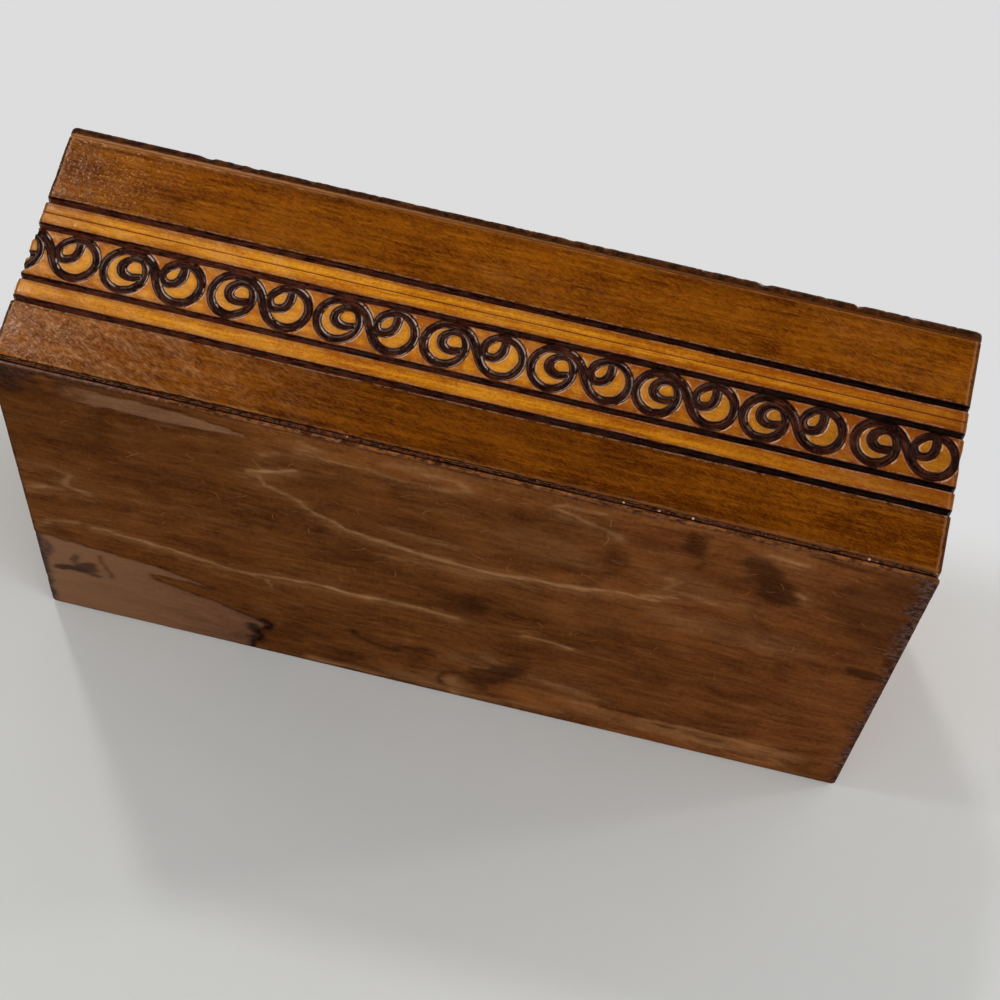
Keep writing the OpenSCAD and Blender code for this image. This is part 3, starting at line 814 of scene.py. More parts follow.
    dark = np.maximum(dark, blobs(jx, jv, [
        (50.9, 9.6, 6.8, 2.9, 84, 0.72), (66.2, 16.0, 9.4, 4.9, 62, 0.80), (69.8, 24.2, 6.4, 4.2, 40, 0.80),
        (64.0, 20.5, 4.4, 2.6, 10, 0.50),
        (31.5, 9.5, 4.5, 2.8, 80, 0.25), (35.2, 26.5, 7.5, 2.6, 95, 0.38),
        (3.6, 69.4, 7.0, 5.6, 115, 0.58), (4.8, 68.0, 4.6, 3.4, 20, 0.66),
        (12.8, 107.6, 11.8, 4.5, 128, 0.78), (18.6, 99.6, 5.8, 2.8, 110, 0.50), (9.0, 117.0, 4.0, 2.6, 80, 0.45),
        (-24.4, 117.4, 4.2, 2.8, 30, 0.70), (-27.0, 120.0, 5.0, 2.8, 140, 0.45), (-36.5, 109.5, 5.2, 4.0, 60, 0.52), (-38.0, 113.5, 4.2, 1.9, 35, 0.5), (-15.0, 105.0, 8.0, 4.0, 20, 0.30),
        (-91.4, 103.2, 6.8, 1.9, 165, 0.96), (-88.4, 100.4, 4.6, 2.3, 128, 0.92), (-90.6, 97.0, 4.0, 1.2, 112, 0.75), (-87.0, 104.2, 3.0, 1.4, 20, 0.8),
        (-83.6, 110.0, 7.0, 2.2, 5, 0.12), (-23.0, 56.0, 9.0, 4.6, 0, 0.22),
        (94.6, 55.4, 4.6, 2.8, 15, 0.85), (98.0, 45.5, 3.4, 1.5, 90, 0.7),
        (95.5, 19.0, 17.0, 7.0, 84, 0.46), (88.0, 20.0, 11.0, 8.0, 80, 0.50), (92.5, 36.0, 8.0, 5.5, 60, 0.42), (-97.0, 6.0, 6.5, 4.0, 85, 0.85), (-90.0, 8.0, 7.0, 3.0, 10, 0.40),
        (86.5, 38.0, 5.0, 3.5, 30, 0.2), (77.5, 122.2, 6.5, 1.7, 10, 0.36), (42.5, 118.5, 4.0, 1.6, 40, 0.25),
        (55.5, 115.4, 3.6, 0.9, 5, 0.5), (66.0, 116.6, 5.2, 1.2, 5, 0.5), (-60.0, 38.0, 8.0, 3.0, 70, 0.12),
        (-83.0, 31.0, 12.0, 3.0, 170, 0.10), (60.0, 8.0, 3.0, 2.0, 60, 0.15),
    ], 740))
    # the almond of lacquer by the front edge: outline, then its rough dark left end
    ax = np.array([-98, -92, -86, -74, -66, -58.5, -50, -46, -44.6])
    at = np.interp(jx, ax, [4.5, 2.6, 2.2, 1.9, 2.1, 2.75, 4.2, 6.2, 7.8])
    ab = np.interp(jx, ax, [8.0, 8.6, 9.6, 9.4, 9.3, 9.2, 8.6, 8.2, 7.9])
    inside = np.minimum(np.minimum(jv - at, ab - jv), np.minimum(-44.8 - jx, 12.0))
    rough_end = smooth(-74, -86, x + 3 * noise2(x, v, 3.0, 1.5, 716)) * smooth(11.5, 7.5, v)
    dark = np.maximum(dark, 0.8 * np.exp(-(inside / 0.42) ** 2) * smooth(-99, -88, x) * (0.75 + 0.25 * noise2(x, v, 3, 2, 719)))
    dark = np.maximum(dark, rough_end * (0.42 + 0.42 * noise2(x, v, 2.2, 1.4, 717) + 0.2 * noise2(x, v, 0.8, 0.6, 718)))
    tongue = smooth(0.1, 0.7, inside) * smooth(-88, -74, x + 3 * noise2(x, v, 2.6, 1.6, 715))
    # the grey pool in the far left corner, with its wedge
    upper = np.interp(jx, [-100, -98.5, -92, -82, -74, -70, -64, -57.6], [85.2, 85.4, 86.4, 87.9, 89.2, 90.4, 92.3, 94.6])
    lower = np.interp(jx, [-73.4, -72, -65, -59, -54, -49, -45], [95.4, 98.2, 100.4, 102.4, 104.8, 107, 108.4])
    right_end = np.interp(v, [108, 110, 113, 116, 119, 122, 127], [-44.6, -43.8, -45.6, -47.2, -46.8, -48.2, -49.2])
    wedge = smooth(-0.25, 0.35, jv - upper) * (jx < -57.6) * np.where(jx > -73.4, smooth(0.3, -0.3, jv - 94.9), 1.0)
    body = smooth(-0.25, 0.35, jv - np.where(jx < -73.4, upper, lower)) * smooth(0.35, -0.35, jx - right_end)
    pool = np.maximum(wedge, body)
    # burnt, ragged edges
    n = noise2(x, v, 4.0, 2.2, 720) + 0.5 * noise2(x, v, 1.6, 0.9, 721)
    right = smooth(3.6, 0.4, (HL - x) + 1.5 * n - 1.6 * smooth(52, 30, v) + 0.6)
    left = smooth(2.2, 0.5, (HL + x) + 0.9 * n - 2.0 * np.exp(-((v - 94) / 6) ** 2)) * np.maximum(smooth(82, 88, v), smooth(30, 8, v))
    corner = smooth(9.5, 3.0, np.hypot((HL + x) * 0.8, v * 0.75) + 1.5 * n)
    thin = smooth(0.9, 0.2, np.minimum(np.minimum(HL - np.abs(x), v), 2 * HD - v) + 0.35 * n)
    burn = np.clip(right * 0.92 + left * 0.85 + 0.8 * corner + 0.8 * thin, 0, 1)
    # slow lightness of the stain
    g = lambda cx, cy, a, b: np.exp(-((x - cx) / a) ** 2 - ((v - cy) / b) ** 2)
    lum = 0.5 + 0.46 * smooth(14, 6, v) * smooth(-52, -36, x) * smooth(92, 80, x)
    lum = lum - 0.16 * g(-80, 20, 26, 16) - 0.06 * g(-45, 32, 12, 14) + 0.10 * g(22, 46, 60, 14) + 0.10 * g(56, 34, 26, 12)
    lum = lum - 0.13 * g(-4, 64, 30, 12) - 0.08 * g(28, 66, 16, 16) + 0.07 * g(-85, 50, 18, 12) + 0.22 * g(88, 98, 14, 26) + 0.06 * g(60, 100, 40, 14) + 0.10 * g(-80, 78, 14, 8)
    lum = lum + 0.44 * smooth(108, 116, v) * smooth(-4, 26, x) * smooth(90, 82, x) - 0.06 * g(-30, 112, 14, 12) + 0.08 * g(76, 12, 7, 12)
    lum = lum + 0.06 * noise2(x, v, 14, 5, 731) + 0.04 * noise2(x, v, 5, 2.5, 732)
    depth = 0.03 * (1 + noise2(x, v, 22, 12, 730)) + 0.02 * (1 + noise2(x, v, 4, 1.2, 733))
    return depth, {"pale": (np.clip(pale, 0, 1), 0.0), "dark": (np.clip(dark, 0, 1), 0.0),
                   "pool": (pool, 0.0), "tongue": (tongue, 0.0), "burn": (burn, 0.6), "lum": (lum, 0.5)}


def bottom_board(mats):
    xs = axis_lines(HL, 0.4, 0.62, 0.5)
    ys = axis_lines(HD, 0.4, 0.62, 0.5)

    def nick(x, y):
        s = np.where(np.abs(y) / HD > np.abs(x) / HL, x + np.sign(y) * 400, y + np.sign(x) * 800)
        return 0.22 * smooth(0.6, 0.95, noise1(s, 1.7, 641)) + 0.05 * (1 + noise1(s, 4.0, 642))

    rings = [
        (lambda x, y: 0.12 + 0.6 * nick(x, y), lambda x, y: 0.14 + 0.2 * nick(x, y)),
        (lambda x, y: 0.02 + 0.3 * nick(x, y), 0.42),
        (lambda x, y: 0.0 + 0.4 * nick(x, y), 0.98),
        (lambda x, y: 0.22 + 0.6 * nick(x, y), 1.3),
        (lambda x, y: 0.66 + 0.4 * nick(x, y), 1.85),
        (0.98, BOARD),
    ]
    return plate("bottom_board_stained", xs, ys, 0.0, BOARD, rings, mats, board_surface, up=False)


# ---------------------------------------------------------------- glue squeezed out of the lower joint

def glue_bead(mats):
    """An uneven bead of dark glue and varnish in the joint between walls and board."""
    pts = []
    r = 1.6
    seg = [("front", -HL + r, HL - r), ("right", -HD + r, HD - r), ("back", -HL + r, HL - r), ("left", -HD + r, HD - r)]
    step = 0.42
    for side, a, b in seg:
        n, t, half, hl, s0 = SIDES[side]
        for u in np.arange(a, b, step):
            pts.append((n[0] * half + t[0] * u, n[1] * half + t[1] * u, n[0], n[1], s0 + u))
        cx = n[0] * (half - r) + t[0] * (hl - r)
        cy = n[1] * (half - r) + t[1] * (hl - r)
        for k in range(6):
            th = math.radians(90 * (k + 0.5) / 6)
            ux = n[0] * math.cos(th) + t[0] * math.sin(th)
            uy = n[1] * math.cos(th) + t[1] * math.sin(th)
            pts.append((cx + ux * r, cy + uy * r, ux, uy, s0 + hl))
    p = np.array(pts)
    s = p[:, 4]
    swell = 0.55 + 0.45 * noise1(s, 7.0, 801) + 0.35 * noise1(s, 1.5, 802)
    swell += 0.5 * np.exp(-((s + 38) / 26.0) ** 4)
    swell = np.clip(swell, 0.05, 1.35)
    lump = noise1(s, 0.9, 803)
    ang = np.radians(np.arange(0, 360, 45))
    rows = []
    for k, a in enumerate(ang):
        rv = 0.30 + 0.22 * swell + 0.07 * noise1(s, 0.8, 810 + k)
        rz = 0.52 + 0.10 * swell + 0.06 * noise1(s, 0.9, 830 + k)
        v = -0.92 + 0.18 * swell + rv * math.cos(a) + 0.05 * lump
        z = 1.86 + 0.06 * lump + rz * math.sin(a)
        rows.append(np.stack([p[:, 0] + p[:, 2] * v, p[:, 1] + p[:, 3] * v, z], 1))
    verts = np.stack(rows, 1)
    c, m = verts.shape[:2]
    idx = np.arange(c * m).reshape(c, m)
    nx = np.roll(idx, -1, 0)
    q = np.stack([idx, nx, np.roll(nx, -1, 1), np.roll(idx, -1, 1)], -1).reshape(-1, 4)
    return mesh("glue_line", verts.reshape(-1, 3), q.tolist(), mats, sharp=80)


# ---------------------------------------------------------------- material helpers

def lin(r, g, b):
    """A display colour, 0 to 255, as linear RGBA."""
    def f(c):
        c /= 255.0
        return c / 12.92 if c <= 0.04045 else ((c + 0.055) / 1.055) ** 2.4
    return (f(r), f(g), f(b), 1.0)


class Tree:
    """Short calls for building a material's nodes."""

    def __init__(self, name):
        self.mat = bpy.data.materials.new(name)
        self.mat.use_nodes = True
        self.t = self.mat.node_tree
        self.t.nodes.clear()
        self.out = self.t.nodes.new("ShaderNodeOutputMaterial")
        self.bsdf = self.t.nodes.new("ShaderNodeBsdfPrincipled")
        self.t.links.new(self.bsdf.outputs[0], self.out.inputs[0])
        self.coord = self.t.nodes.new("ShaderNodeTexCoord").outputs["Object"]
        self.mm = self.vec("MULTIPLY", self.coord, (1000.0, 1000.0, 1000.0))

    def put(self, sock, val):
        if isinstance(val, bpy.types.NodeSocket):
            self.t.links.new(val, sock)
        else:
            sock.default_value = val

    def math(self, op, a, b=None, c=None, clamp=False):
        n = self.t.nodes.new("ShaderNodeMath")
        n.operation, n.use_clamp = op, clamp
        for s, v in zip(n.inputs, (a, b, c)):
            if v is not None:
                self.put(s, v)
        return n.outputs[0]

    def add(self, *v):
        out = v[0]
        for x in v[1:]:
            out = self.math("ADD", out, x)
        return out

    def mul(self, *v):
        out = v[0]
        for x in v[1:]:
            out = self.math("MULTIPLY", out, x)
        return out

    def vec(self, op, a, b=None, c=None):
        n = self.t.nodes.new("ShaderNodeVectorMath")
        n.operation = op
        for s, v in zip(n.inputs, (a, b, c)):
            if v is not None:
                self.put(s, v)
        return n.outputs["Value"] if op in ("LENGTH", "DOT_PRODUCT", "DISTANCE") else n.outputs[0]

    def split(self, v):
        n = self.t.nodes.new("ShaderNodeSeparateXYZ")
        self.put(n.inputs[0], v)
        return n.outputs

    def join(self, x, y, z):
        n = self.t.nodes.new("ShaderNodeCombineXYZ")
        for s, v in zip(n.inputs, (x, y, z)):
            self.put(s, v)
        return n.outputs[0]

    def noise(self, v, scale, detail=3.0, rough=0.55, dist=0.0, color=False):
        n = self.t.nodes.new("ShaderNodeTexNoise")
        self.put(n.inputs["Vector"], v)
        n.inputs["Scale"].default_value = scale
        n.inputs["Detail"].default_value = detail
        n.inputs["Roughness"].default_value = rough
        n.inputs["Distortion"].default_value = dist
        return n.outputs["Color"] if color else n.outputs[0]

    def cells(self, v, scale, feature="F1", out="Distance", rand=1.0):
        n = self.t.nodes.new("ShaderNodeTexVoronoi")
        n.feature = feature
        self.put(n.inputs["Vector"], v)
        n.inputs["Scale"].default_value = scale
        n.inputs["Randomness"].default_value = rand
        return n.outputs[out] if isinstance(out, str) else [n.outputs[o] for o in out]

    def step(self, a, b, x):
        """0 below a, 1 above b, smooth between; a may be above b."""
        n = self.t.nodes.new("ShaderNodeMapRange")
        n.interpolation_type = "SMOOTHSTEP"
        if a < b:
            vals = (a, b, 0.0, 1.0)
        else:
            vals = (b, a, 1.0, 0.0)
        self.put(n.inputs["Value"], x)
        for s, v in zip(("From Min", "From Max", "To Min", "To Max"), vals):
            n.inputs[s].default_value = v
        return n.outputs[0]

    def remap(self, x, a, b, c, d, clamp=True):
        n = self.t.nodes.new("ShaderNodeMapRange")
        n.clamp = clamp
        self.put(n.inputs["Value"], x)
        for s, v in zip(("From Min", "From Max", "To Min", "To Max"), (a, b, c, d)):
            n.inputs[s].default_value = v
        return n.outputs[0]

    def mix(self, fac, a, b, kind="MIX"):
        n = self.t.nodes.new("ShaderNodeMix")
        n.data_type, n.blend_type = "RGBA", kind
        n.clamp_factor = True
        self.put(n.inputs[0], fac)
        self.put(n.inputs[6], a)
        self.put(n.inputs[7], b)
        return n.outputs[2]

    def attr(self, name):
        n = self.t.nodes.new("ShaderNodeAttribute")
        n.attribute_type, n.attribute_name = "GEOMETRY", name
        return n.outputs["Fac"]

    def bump(self, height, distance=0.001, strength=1.0, normal=None):
        n = self.t.nodes.new("ShaderNodeBump")
        n.inputs["Strength"].default_value = strength
        n.inputs["Distance"].default_value = distance
        self.put(n.inputs["Height"], height)
        if normal is not None:
            self.put(n.inputs["Normal"], normal)
        return n.outputs[0]

    def hairs(self, v, scale, length, width, bend=0.5):
        """Short curved scratches at random places and angles, 0 or 1. Sizes in millimetres."""
        dist, pos, col = self.cells(v, scale, out=("Distance", "Position", "Color"))
        d = self.vec("SUBTRACT", v, self.vec("DIVIDE", pos, (1.0, 1.0, 1.0)))
        r = self.split(col)
        a = self.mul(r[0], TAU)
        ca, sa = self.math("COSINE", a), self.math("SINE", a)
        x, y, z = self.split(d)
        u = self.add(self.mul(x, ca), self.mul(y, sa))
        w = self.add(self.mul(x, self.mul(sa, -1.0)), self.mul(y, ca))
        w = self.add(w, self.mul(u, u, self.mul(self.math("SUBTRACT", r[1], 0.5), bend)))
        long = self.mul(length, self.add(0.35, r[2]))
        inside = self.math("LESS_THAN", self.math("ABSOLUTE", u), long)
        thin = self.step(width, width * 0.3, self.math("ABSOLUTE", w))
        few = self.math("GREATER_THAN", self.math("FRACT", self.mul(r[1], 7.31)), 0.72)
        return self.mul(inside, thin, few)


def grain_space(T, axis, along, across):
    """Millimetre coordinates stretched along the grain."""
    s = {"x": (along, across, across), "y": (across, along, across)}[axis]
    return T.vec("MULTIPLY", T.mm, s)


# ---------------------------------------------------------------- lacquered, stained and burnt wood

def lacquered(name, axis):
    """Outside of walls and lid; axis is the direction of the grain."""
    T = Tree(name)
    sd, ring, light, ea, lum, rub_and_sheen, glint_fleck, side, bank, mitre = (
        T.attr(k) for k in ("sd", "ring", "light", "ea", "lum", "rub_and_sheen", "glint_fleck", "side", "bank", "mitre"))
    g1 = T.noise(grain_space(T, axis, 0.018, 0.42), 1.0, 4.0, 0.6, 0.6)
    g2 = T.noise(grain_space(T, axis, 0.10, 1.3), 1.0, 4.0, 0.65, 0.4)
    g3 = T.noise(grain_space(T, axis, 0.32, 2.3), 1.0, 3.0, 0.65, 0.3)
    curl = T.noise(grain_space(T, axis, 0.9, 1.1), 1.0, 3.0, 0.7, 1.2)
    blot = T.noise(T.mm, 0.05, 4.0, 0.6, 0.5)
    speck = T.noise(T.mm, 1.25, 3.0, 0.7)
    band = T.noise(grain_space(T, axis, 0.03, 0.75), 1.0, 3.0, 0.6, 0.5)

    def spread(*pairs):
        """Weighted sum of noises about 0.5, kept between 0 and 1."""
        out = 0.5
        for k, n in pairs:
            out = T.add(out, T.mul(T.math("SUBTRACT", n, 0.5), k))
        return T.math("ADD", out, 0.0, clamp=True)

    pores = T.step(0.57, 0.67, T.noise(grain_space(T, axis, 0.45, 3.0), 1.0, 2.0, 0.5))
    glow = T.step(0.52, 0.68, T.noise(grain_space(T, axis, 0.20, 1.9), 1.0, 3.0, 0.65))
    grit = T.noise(T.mm, 2.4, 2.0, 0.6)
    px, py, pz = T.split(T.mm)
    u = {"x": px, "y": py}[axis]
    slant = T.join(T.mul(T.add(T.mul(u, 0.88), T.mul(pz, -0.47)), 0.60), T.mul(T.add(px, py), 0.12), T.mul(T.add(T.mul(pz, 0.88), T.mul(u, 0.47)), 3.0))
    hatch = T.noise(slant, 1.0, 3.0, 0.6)
    hatch = T.add(0.5, T.mul(T.math("SUBTRACT", hatch, 0.5), T.step(59.5, 59.2, pz)))
    # brown stain
    t1 = spread((1.3, g1), (1.2, band), (1.1, g2), (0.6, g3), (0.6, curl), (1.5, hatch), (0.6, speck), (0.9, grit), (1.2, blot))
    brown = T.mix(t1, lin(86, 36, 0), lin(152, 83, 6))
    brown = T.mix(T.mul(glow, 0.38), brown, lin(182, 110, 22))
    brown = T.mix(T.mul(pores, 0.16), brown, lin(58, 24, 1))
    # light bands
    t2 = spread((1.5, g1), (1.5, band), (1.4, g2), (0.7, g3), (0.7, curl), (1.0, speck), (1.2, grit), (1.4, blot))
    pale = T.mix(t2, lin(166, 86, 4), lin(228, 150, 28))
    pale = T.mix(T.mul(glow, 0.28), pale, lin(240, 176, 70))
    pale = T.mix(T.mul(pores, 0.22), pale, lin(132, 62, 6))
    # inside the rings yellower, between them scorched redder
    inring = T.step(4.6, 3.7, ring)
    near = T.step(9.0, 6.2, ring)
    between = T.mul(near, T.math("SUBTRACT", 1.0, inring))
    pale = T.mix(T.mul(between, T.add(0.25, T.mul(T.step(0.42, 0.60, T.noise(T.mm, 0.35, 3.0, 0.6)), 0.5))), pale, lin(170, 86, 22))
    pale = T.mix(T.mul(inring, 0.50), pale, T.mix(speck, lin(196, 116, 18), lin(232, 164, 56)))
    pale = T.mix(T.mul(T.step(35.0, 98.0, px), T.math("SUBTRACT", 0.50, T.mul(inring, 0.34))), pale, lin(140, 60, 8))
    base = T.mix(light, brown, pale)
    gain = T.math("MAXIMUM", T.add(0.5, lum), 0.2)
    base = T.mix(1.0, base, T.join(gain, T.math("POWER", gain, 1.12), T.math("POWER", gain, 1.35)), "MULTIPLY")
    # darker beside the straight grooves on the light bands, scorch around the burnt lines, and a painted highlight on
    # the lip beside them
    straight, reach = 0.0, 0.0
    for at, _ in V_LID + V_BASE:
        off = T.math("ABSOLUTE", T.math("SUBTRACT", pz, at))
        straight = T.add(straight, T.step(1.05, 0.80, off))
        reach = T.math("MAXIMUM", reach, T.step(2.5, 0.75, T.add(off, T.mul(T.math("SUBTRACT", blot, 0.5), 1.6))))
    base = T.mix(T.mul(reach, light, T.math("SUBTRACT", 1.0, T.mul(inring, 0.9)), 0.44), base, lin(112, 46, 6))
    jit = T.mul(T.math("SUBTRACT", T.noise(T.mm, 1.6, 3.0, 0.6), 0.5), 0.5)
    sdj = T.add(sd, jit)
    halo = T.step(0.85, 0.0, sdj)
    base = T.mix(T.mul(halo, 0.42), base, T.mix(light, lin(38, 15, 2), lin(104, 38, 3)))
    length = T.step(0.40, 0.56, T.noise(T.mm, 0.55, 3.0, 0.6))
    # painted highlight on the groove lips, stronger on the walls that face the main lamp
    lamp_facing = T.add(0.30, T.mul(T.step(-0.1, 0.8, bank), 0.9))
    lip_highlight = T.mul(T.step(0.50, 0.24, sdj), T.step(0.0, 0.16, sdj), length)
    base = T.mix(T.math("MINIMUM", T.mul(lip_highlight, lamp_facing, 0.72), 0.8), base, lin(212, 166, 132))
    core = T.step(0.10, -0.10, T.add(sd, T.mul(jit, 0.30)))
    mark = T.noise(T.mm, 1.3, 3.0, 0.65)
    run = T.noise(T.join(T.mul(sd, 4.2), T.mul(T.add(px, py), 0.26), T.mul(pz, 0.30)), 1.0, 2.0, 0.55)
    far = T.step(-75.0, 85.0, px)
    char = T.mix(T.step(-0.22, -0.50, sdj), T.mix(straight, lin(14, 3, 1), T.mix(far, lin(46, 9, 0), lin(8, 1, 0))),
                 T.mix(straight, lin(50, 18, 8), T.mix(far, lin(80, 32, 14), lin(20, 7, 3))))
    char = T.mix(T.mul(T.step(0.52, 0.66, run), 0.70), char, T.mix(straight, lin(92, 46, 28), T.mix(far, lin(100, 50, 28), lin(38, 19, 12))))
    char = T.mix(T.mul(T.step(0.50, 0.38, run), 0.85), char, lin(9, 0, 0))
    char = T.mix(T.mul(T.step(0.56, 0.70, mark), T.add(0.36, T.mul(straight, far, -0.26))), char, lin(102, 52, 30))
    char = T.mix(T.mul(T.step(0.46, 0.32, mark), T.add(0.62, T.mul(straight, -0.25))), char, lin(10, 1, 0))
    # painted highlight: pale glint lines along the groove wall that faces the main lamp, fading towards the right end;
    # the same mask also adds coat there
    line = T.mul(T.step(-0.54, -0.42, sd), T.step(-0.16, -0.26, sd), T.step(0.41, 0.50, T.noise(T.mm, 0.24, 2.0, 0.6)), T.step(0.36, 0.50, T.noise(T.mm, 0.9, 3.0, 0.7)), T.add(0.12, T.mul(T.step(0.0, 0.6, bank), 0.88)),
                 T.step(110.0, -40.0, px), T.add(0.35, T.mul(T.math("SUBTRACT", 1.0, straight), 0.65)))
    char = T.mix(T.mul(line, 0.88), char, lin(224, 196, 180))
    base = T.mix(core, base, char)
    # rubbed patches with painted sheen at the left end, lighter arrises from wear with a painted highlight on their
    # rounded edge, a painted highlight line inside each mitred corner beside its burnt dark edge, and the dark stained
    # edge of the lid's board
    free = T.math("SUBTRACT", 1.0, core)
    base = T.mix(T.mul(rub_and_sheen, T.add(0.30, T.mul(T.step(0.45, 0.62, hatch), 0.62)), free), base, T.mix(light, lin(172, 118, 76), lin(234, 174, 112)))
    # lighter along the arrises by the boards and the seam: wear, with a painted highlight on the rounded arris
    wear = T.add(ea, T.mul(T.math("SUBTRACT", T.noise(T.mm, 0.45, 4.0, 0.65), 0.5), 1.5))
    worn_and_highlight = T.mul(T.step(0.75, 0.15, wear), free)
    base = T.mix(T.mul(worn_and_highlight, T.add(0.26, T.mul(rub_and_sheen, 0.5))), base, lin(182, 122, 72))
    edge_dark = T.mul(T.step(0.8, 0.2, T.math("ABSOLUTE", T.math("SUBTRACT", ea, 1.25))), 0.22, T.math("SUBTRACT", 1.0, light))
    base = T.mix(edge_dark, base, lin(48, 22, 6))
    # a pale painted highlight line just inside each mitred corner, next to the corner's burnt dark edge
    away = T.add(mitre, T.mul(T.math("SUBTRACT", T.noise(T.mm, 0.6, 3.0, 0.6), 0.5), 0.9))
    base = T.mix(T.mul(T.step(1.5, 1.0, away), T.step(0.4, 1.0, away), 0.35, free), base, lin(176, 126, 86))
    base = T.mix(T.mul(T.step(0.95, 0.45, away), T.add(0.30, T.mul(T.math("SUBTRACT", 1.0, light), 0.30))), base, lin(24, 9, 3))
    z = pz
    e1 = T.noise(T.mm, 0.5, 4.0, 0.7)
    base = T.mix(T.mul(T.step(2.74, 2.50, T.add(z, T.mul(far, 0.22), T.mul(T.math("SUBTRACT", e1, 0.5), 0.7))), 0.92), base, lin(38, 11, 2))
    edge = T.mix(T.step(0.35, 0.68, e1), lin(20, 8, 3), lin(84, 44, 17))
    edge = T.mix(T.mul(T.step(57.95, 57.45, T.add(z, T.mul(far, 0.3), T.mul(T.math("SUBTRACT", e1, 0.5), 0.8))), T.add(0.9, T.mul(far, -0.25))), edge, T.mix(far, lin(184, 126, 78), lin(142, 82, 28)))
    base = T.mix(T.mul(side, 0.96), base, edge)
    # painted glints: pale specks on the left end of the brown bands, where the main lamp reflects
    glint_dot = T.mul(T.step(0.56, 0.70, T.noise(T.mm, 1.5, 2.0, 0.6)), T.step(0.05, 0.9, T.add(glint_fleck, T.mul(T.math("SUBTRACT", blot, 0.5), 1.2))), free)
    base = T.mix(T.mul(glint_dot, 0.62), base, lin(206, 156, 104))
    T.put(T.bsdf.inputs["Base Color"], base)

    T.put(T.bsdf.inputs["Roughness"], T.add(0.46, T.mul(T.math("SUBTRACT", g2, 0.5), 0.3), T.mul(core, -0.10)))
    fine = T.mul(T.add(g3, T.noise(grain_space(T, axis, 0.7, 4.0), 1.0, 3.0, 0.6)), 0.018)
    peel = T.mul(T.noise(T.mm, 0.9, 2.0, 0.5), 0.030)
    dust = T.mul(T.step(0.66, 0.80, T.noise(T.mm, 2.2, 2.0, 0.6)), 0.03)
    lips = T.mul(T.step(0.62, 0.24, sdj), T.step(-0.10, 0.16, sd), 0.07, T.math("SUBTRACT", 1.0, side))
    crackle = T.mul(T.add(mark, T.mul(T.noise(T.mm, 3.2, 2.0, 0.6), 0.4)), T.mul(core, 0.12))
    T.put(T.bsdf.inputs["Normal"], T.bump(T.add(fine, peel, dust, lips, crackle)))
    T.bsdf.inputs["Specular IOR Level"].default_value = 0.02
    T.put(T.bsdf.inputs["Coat Weight"], T.add(0.07, T.mul(core, -0.035), T.mul(light, 0.05), T.mul(line, 0.6), T.mul(lip_highlight, 0.10), T.mul(core, straight, -0.03)))
    T.bsdf.inputs["Coat Roughness"].default_value = 0.09
    T.put(T.bsdf.inputs["Coat Normal"], T.bump(T.add(peel, dust, lips, crackle, T.mul(fine, 0.5)), strength=0.9))
    return T.mat


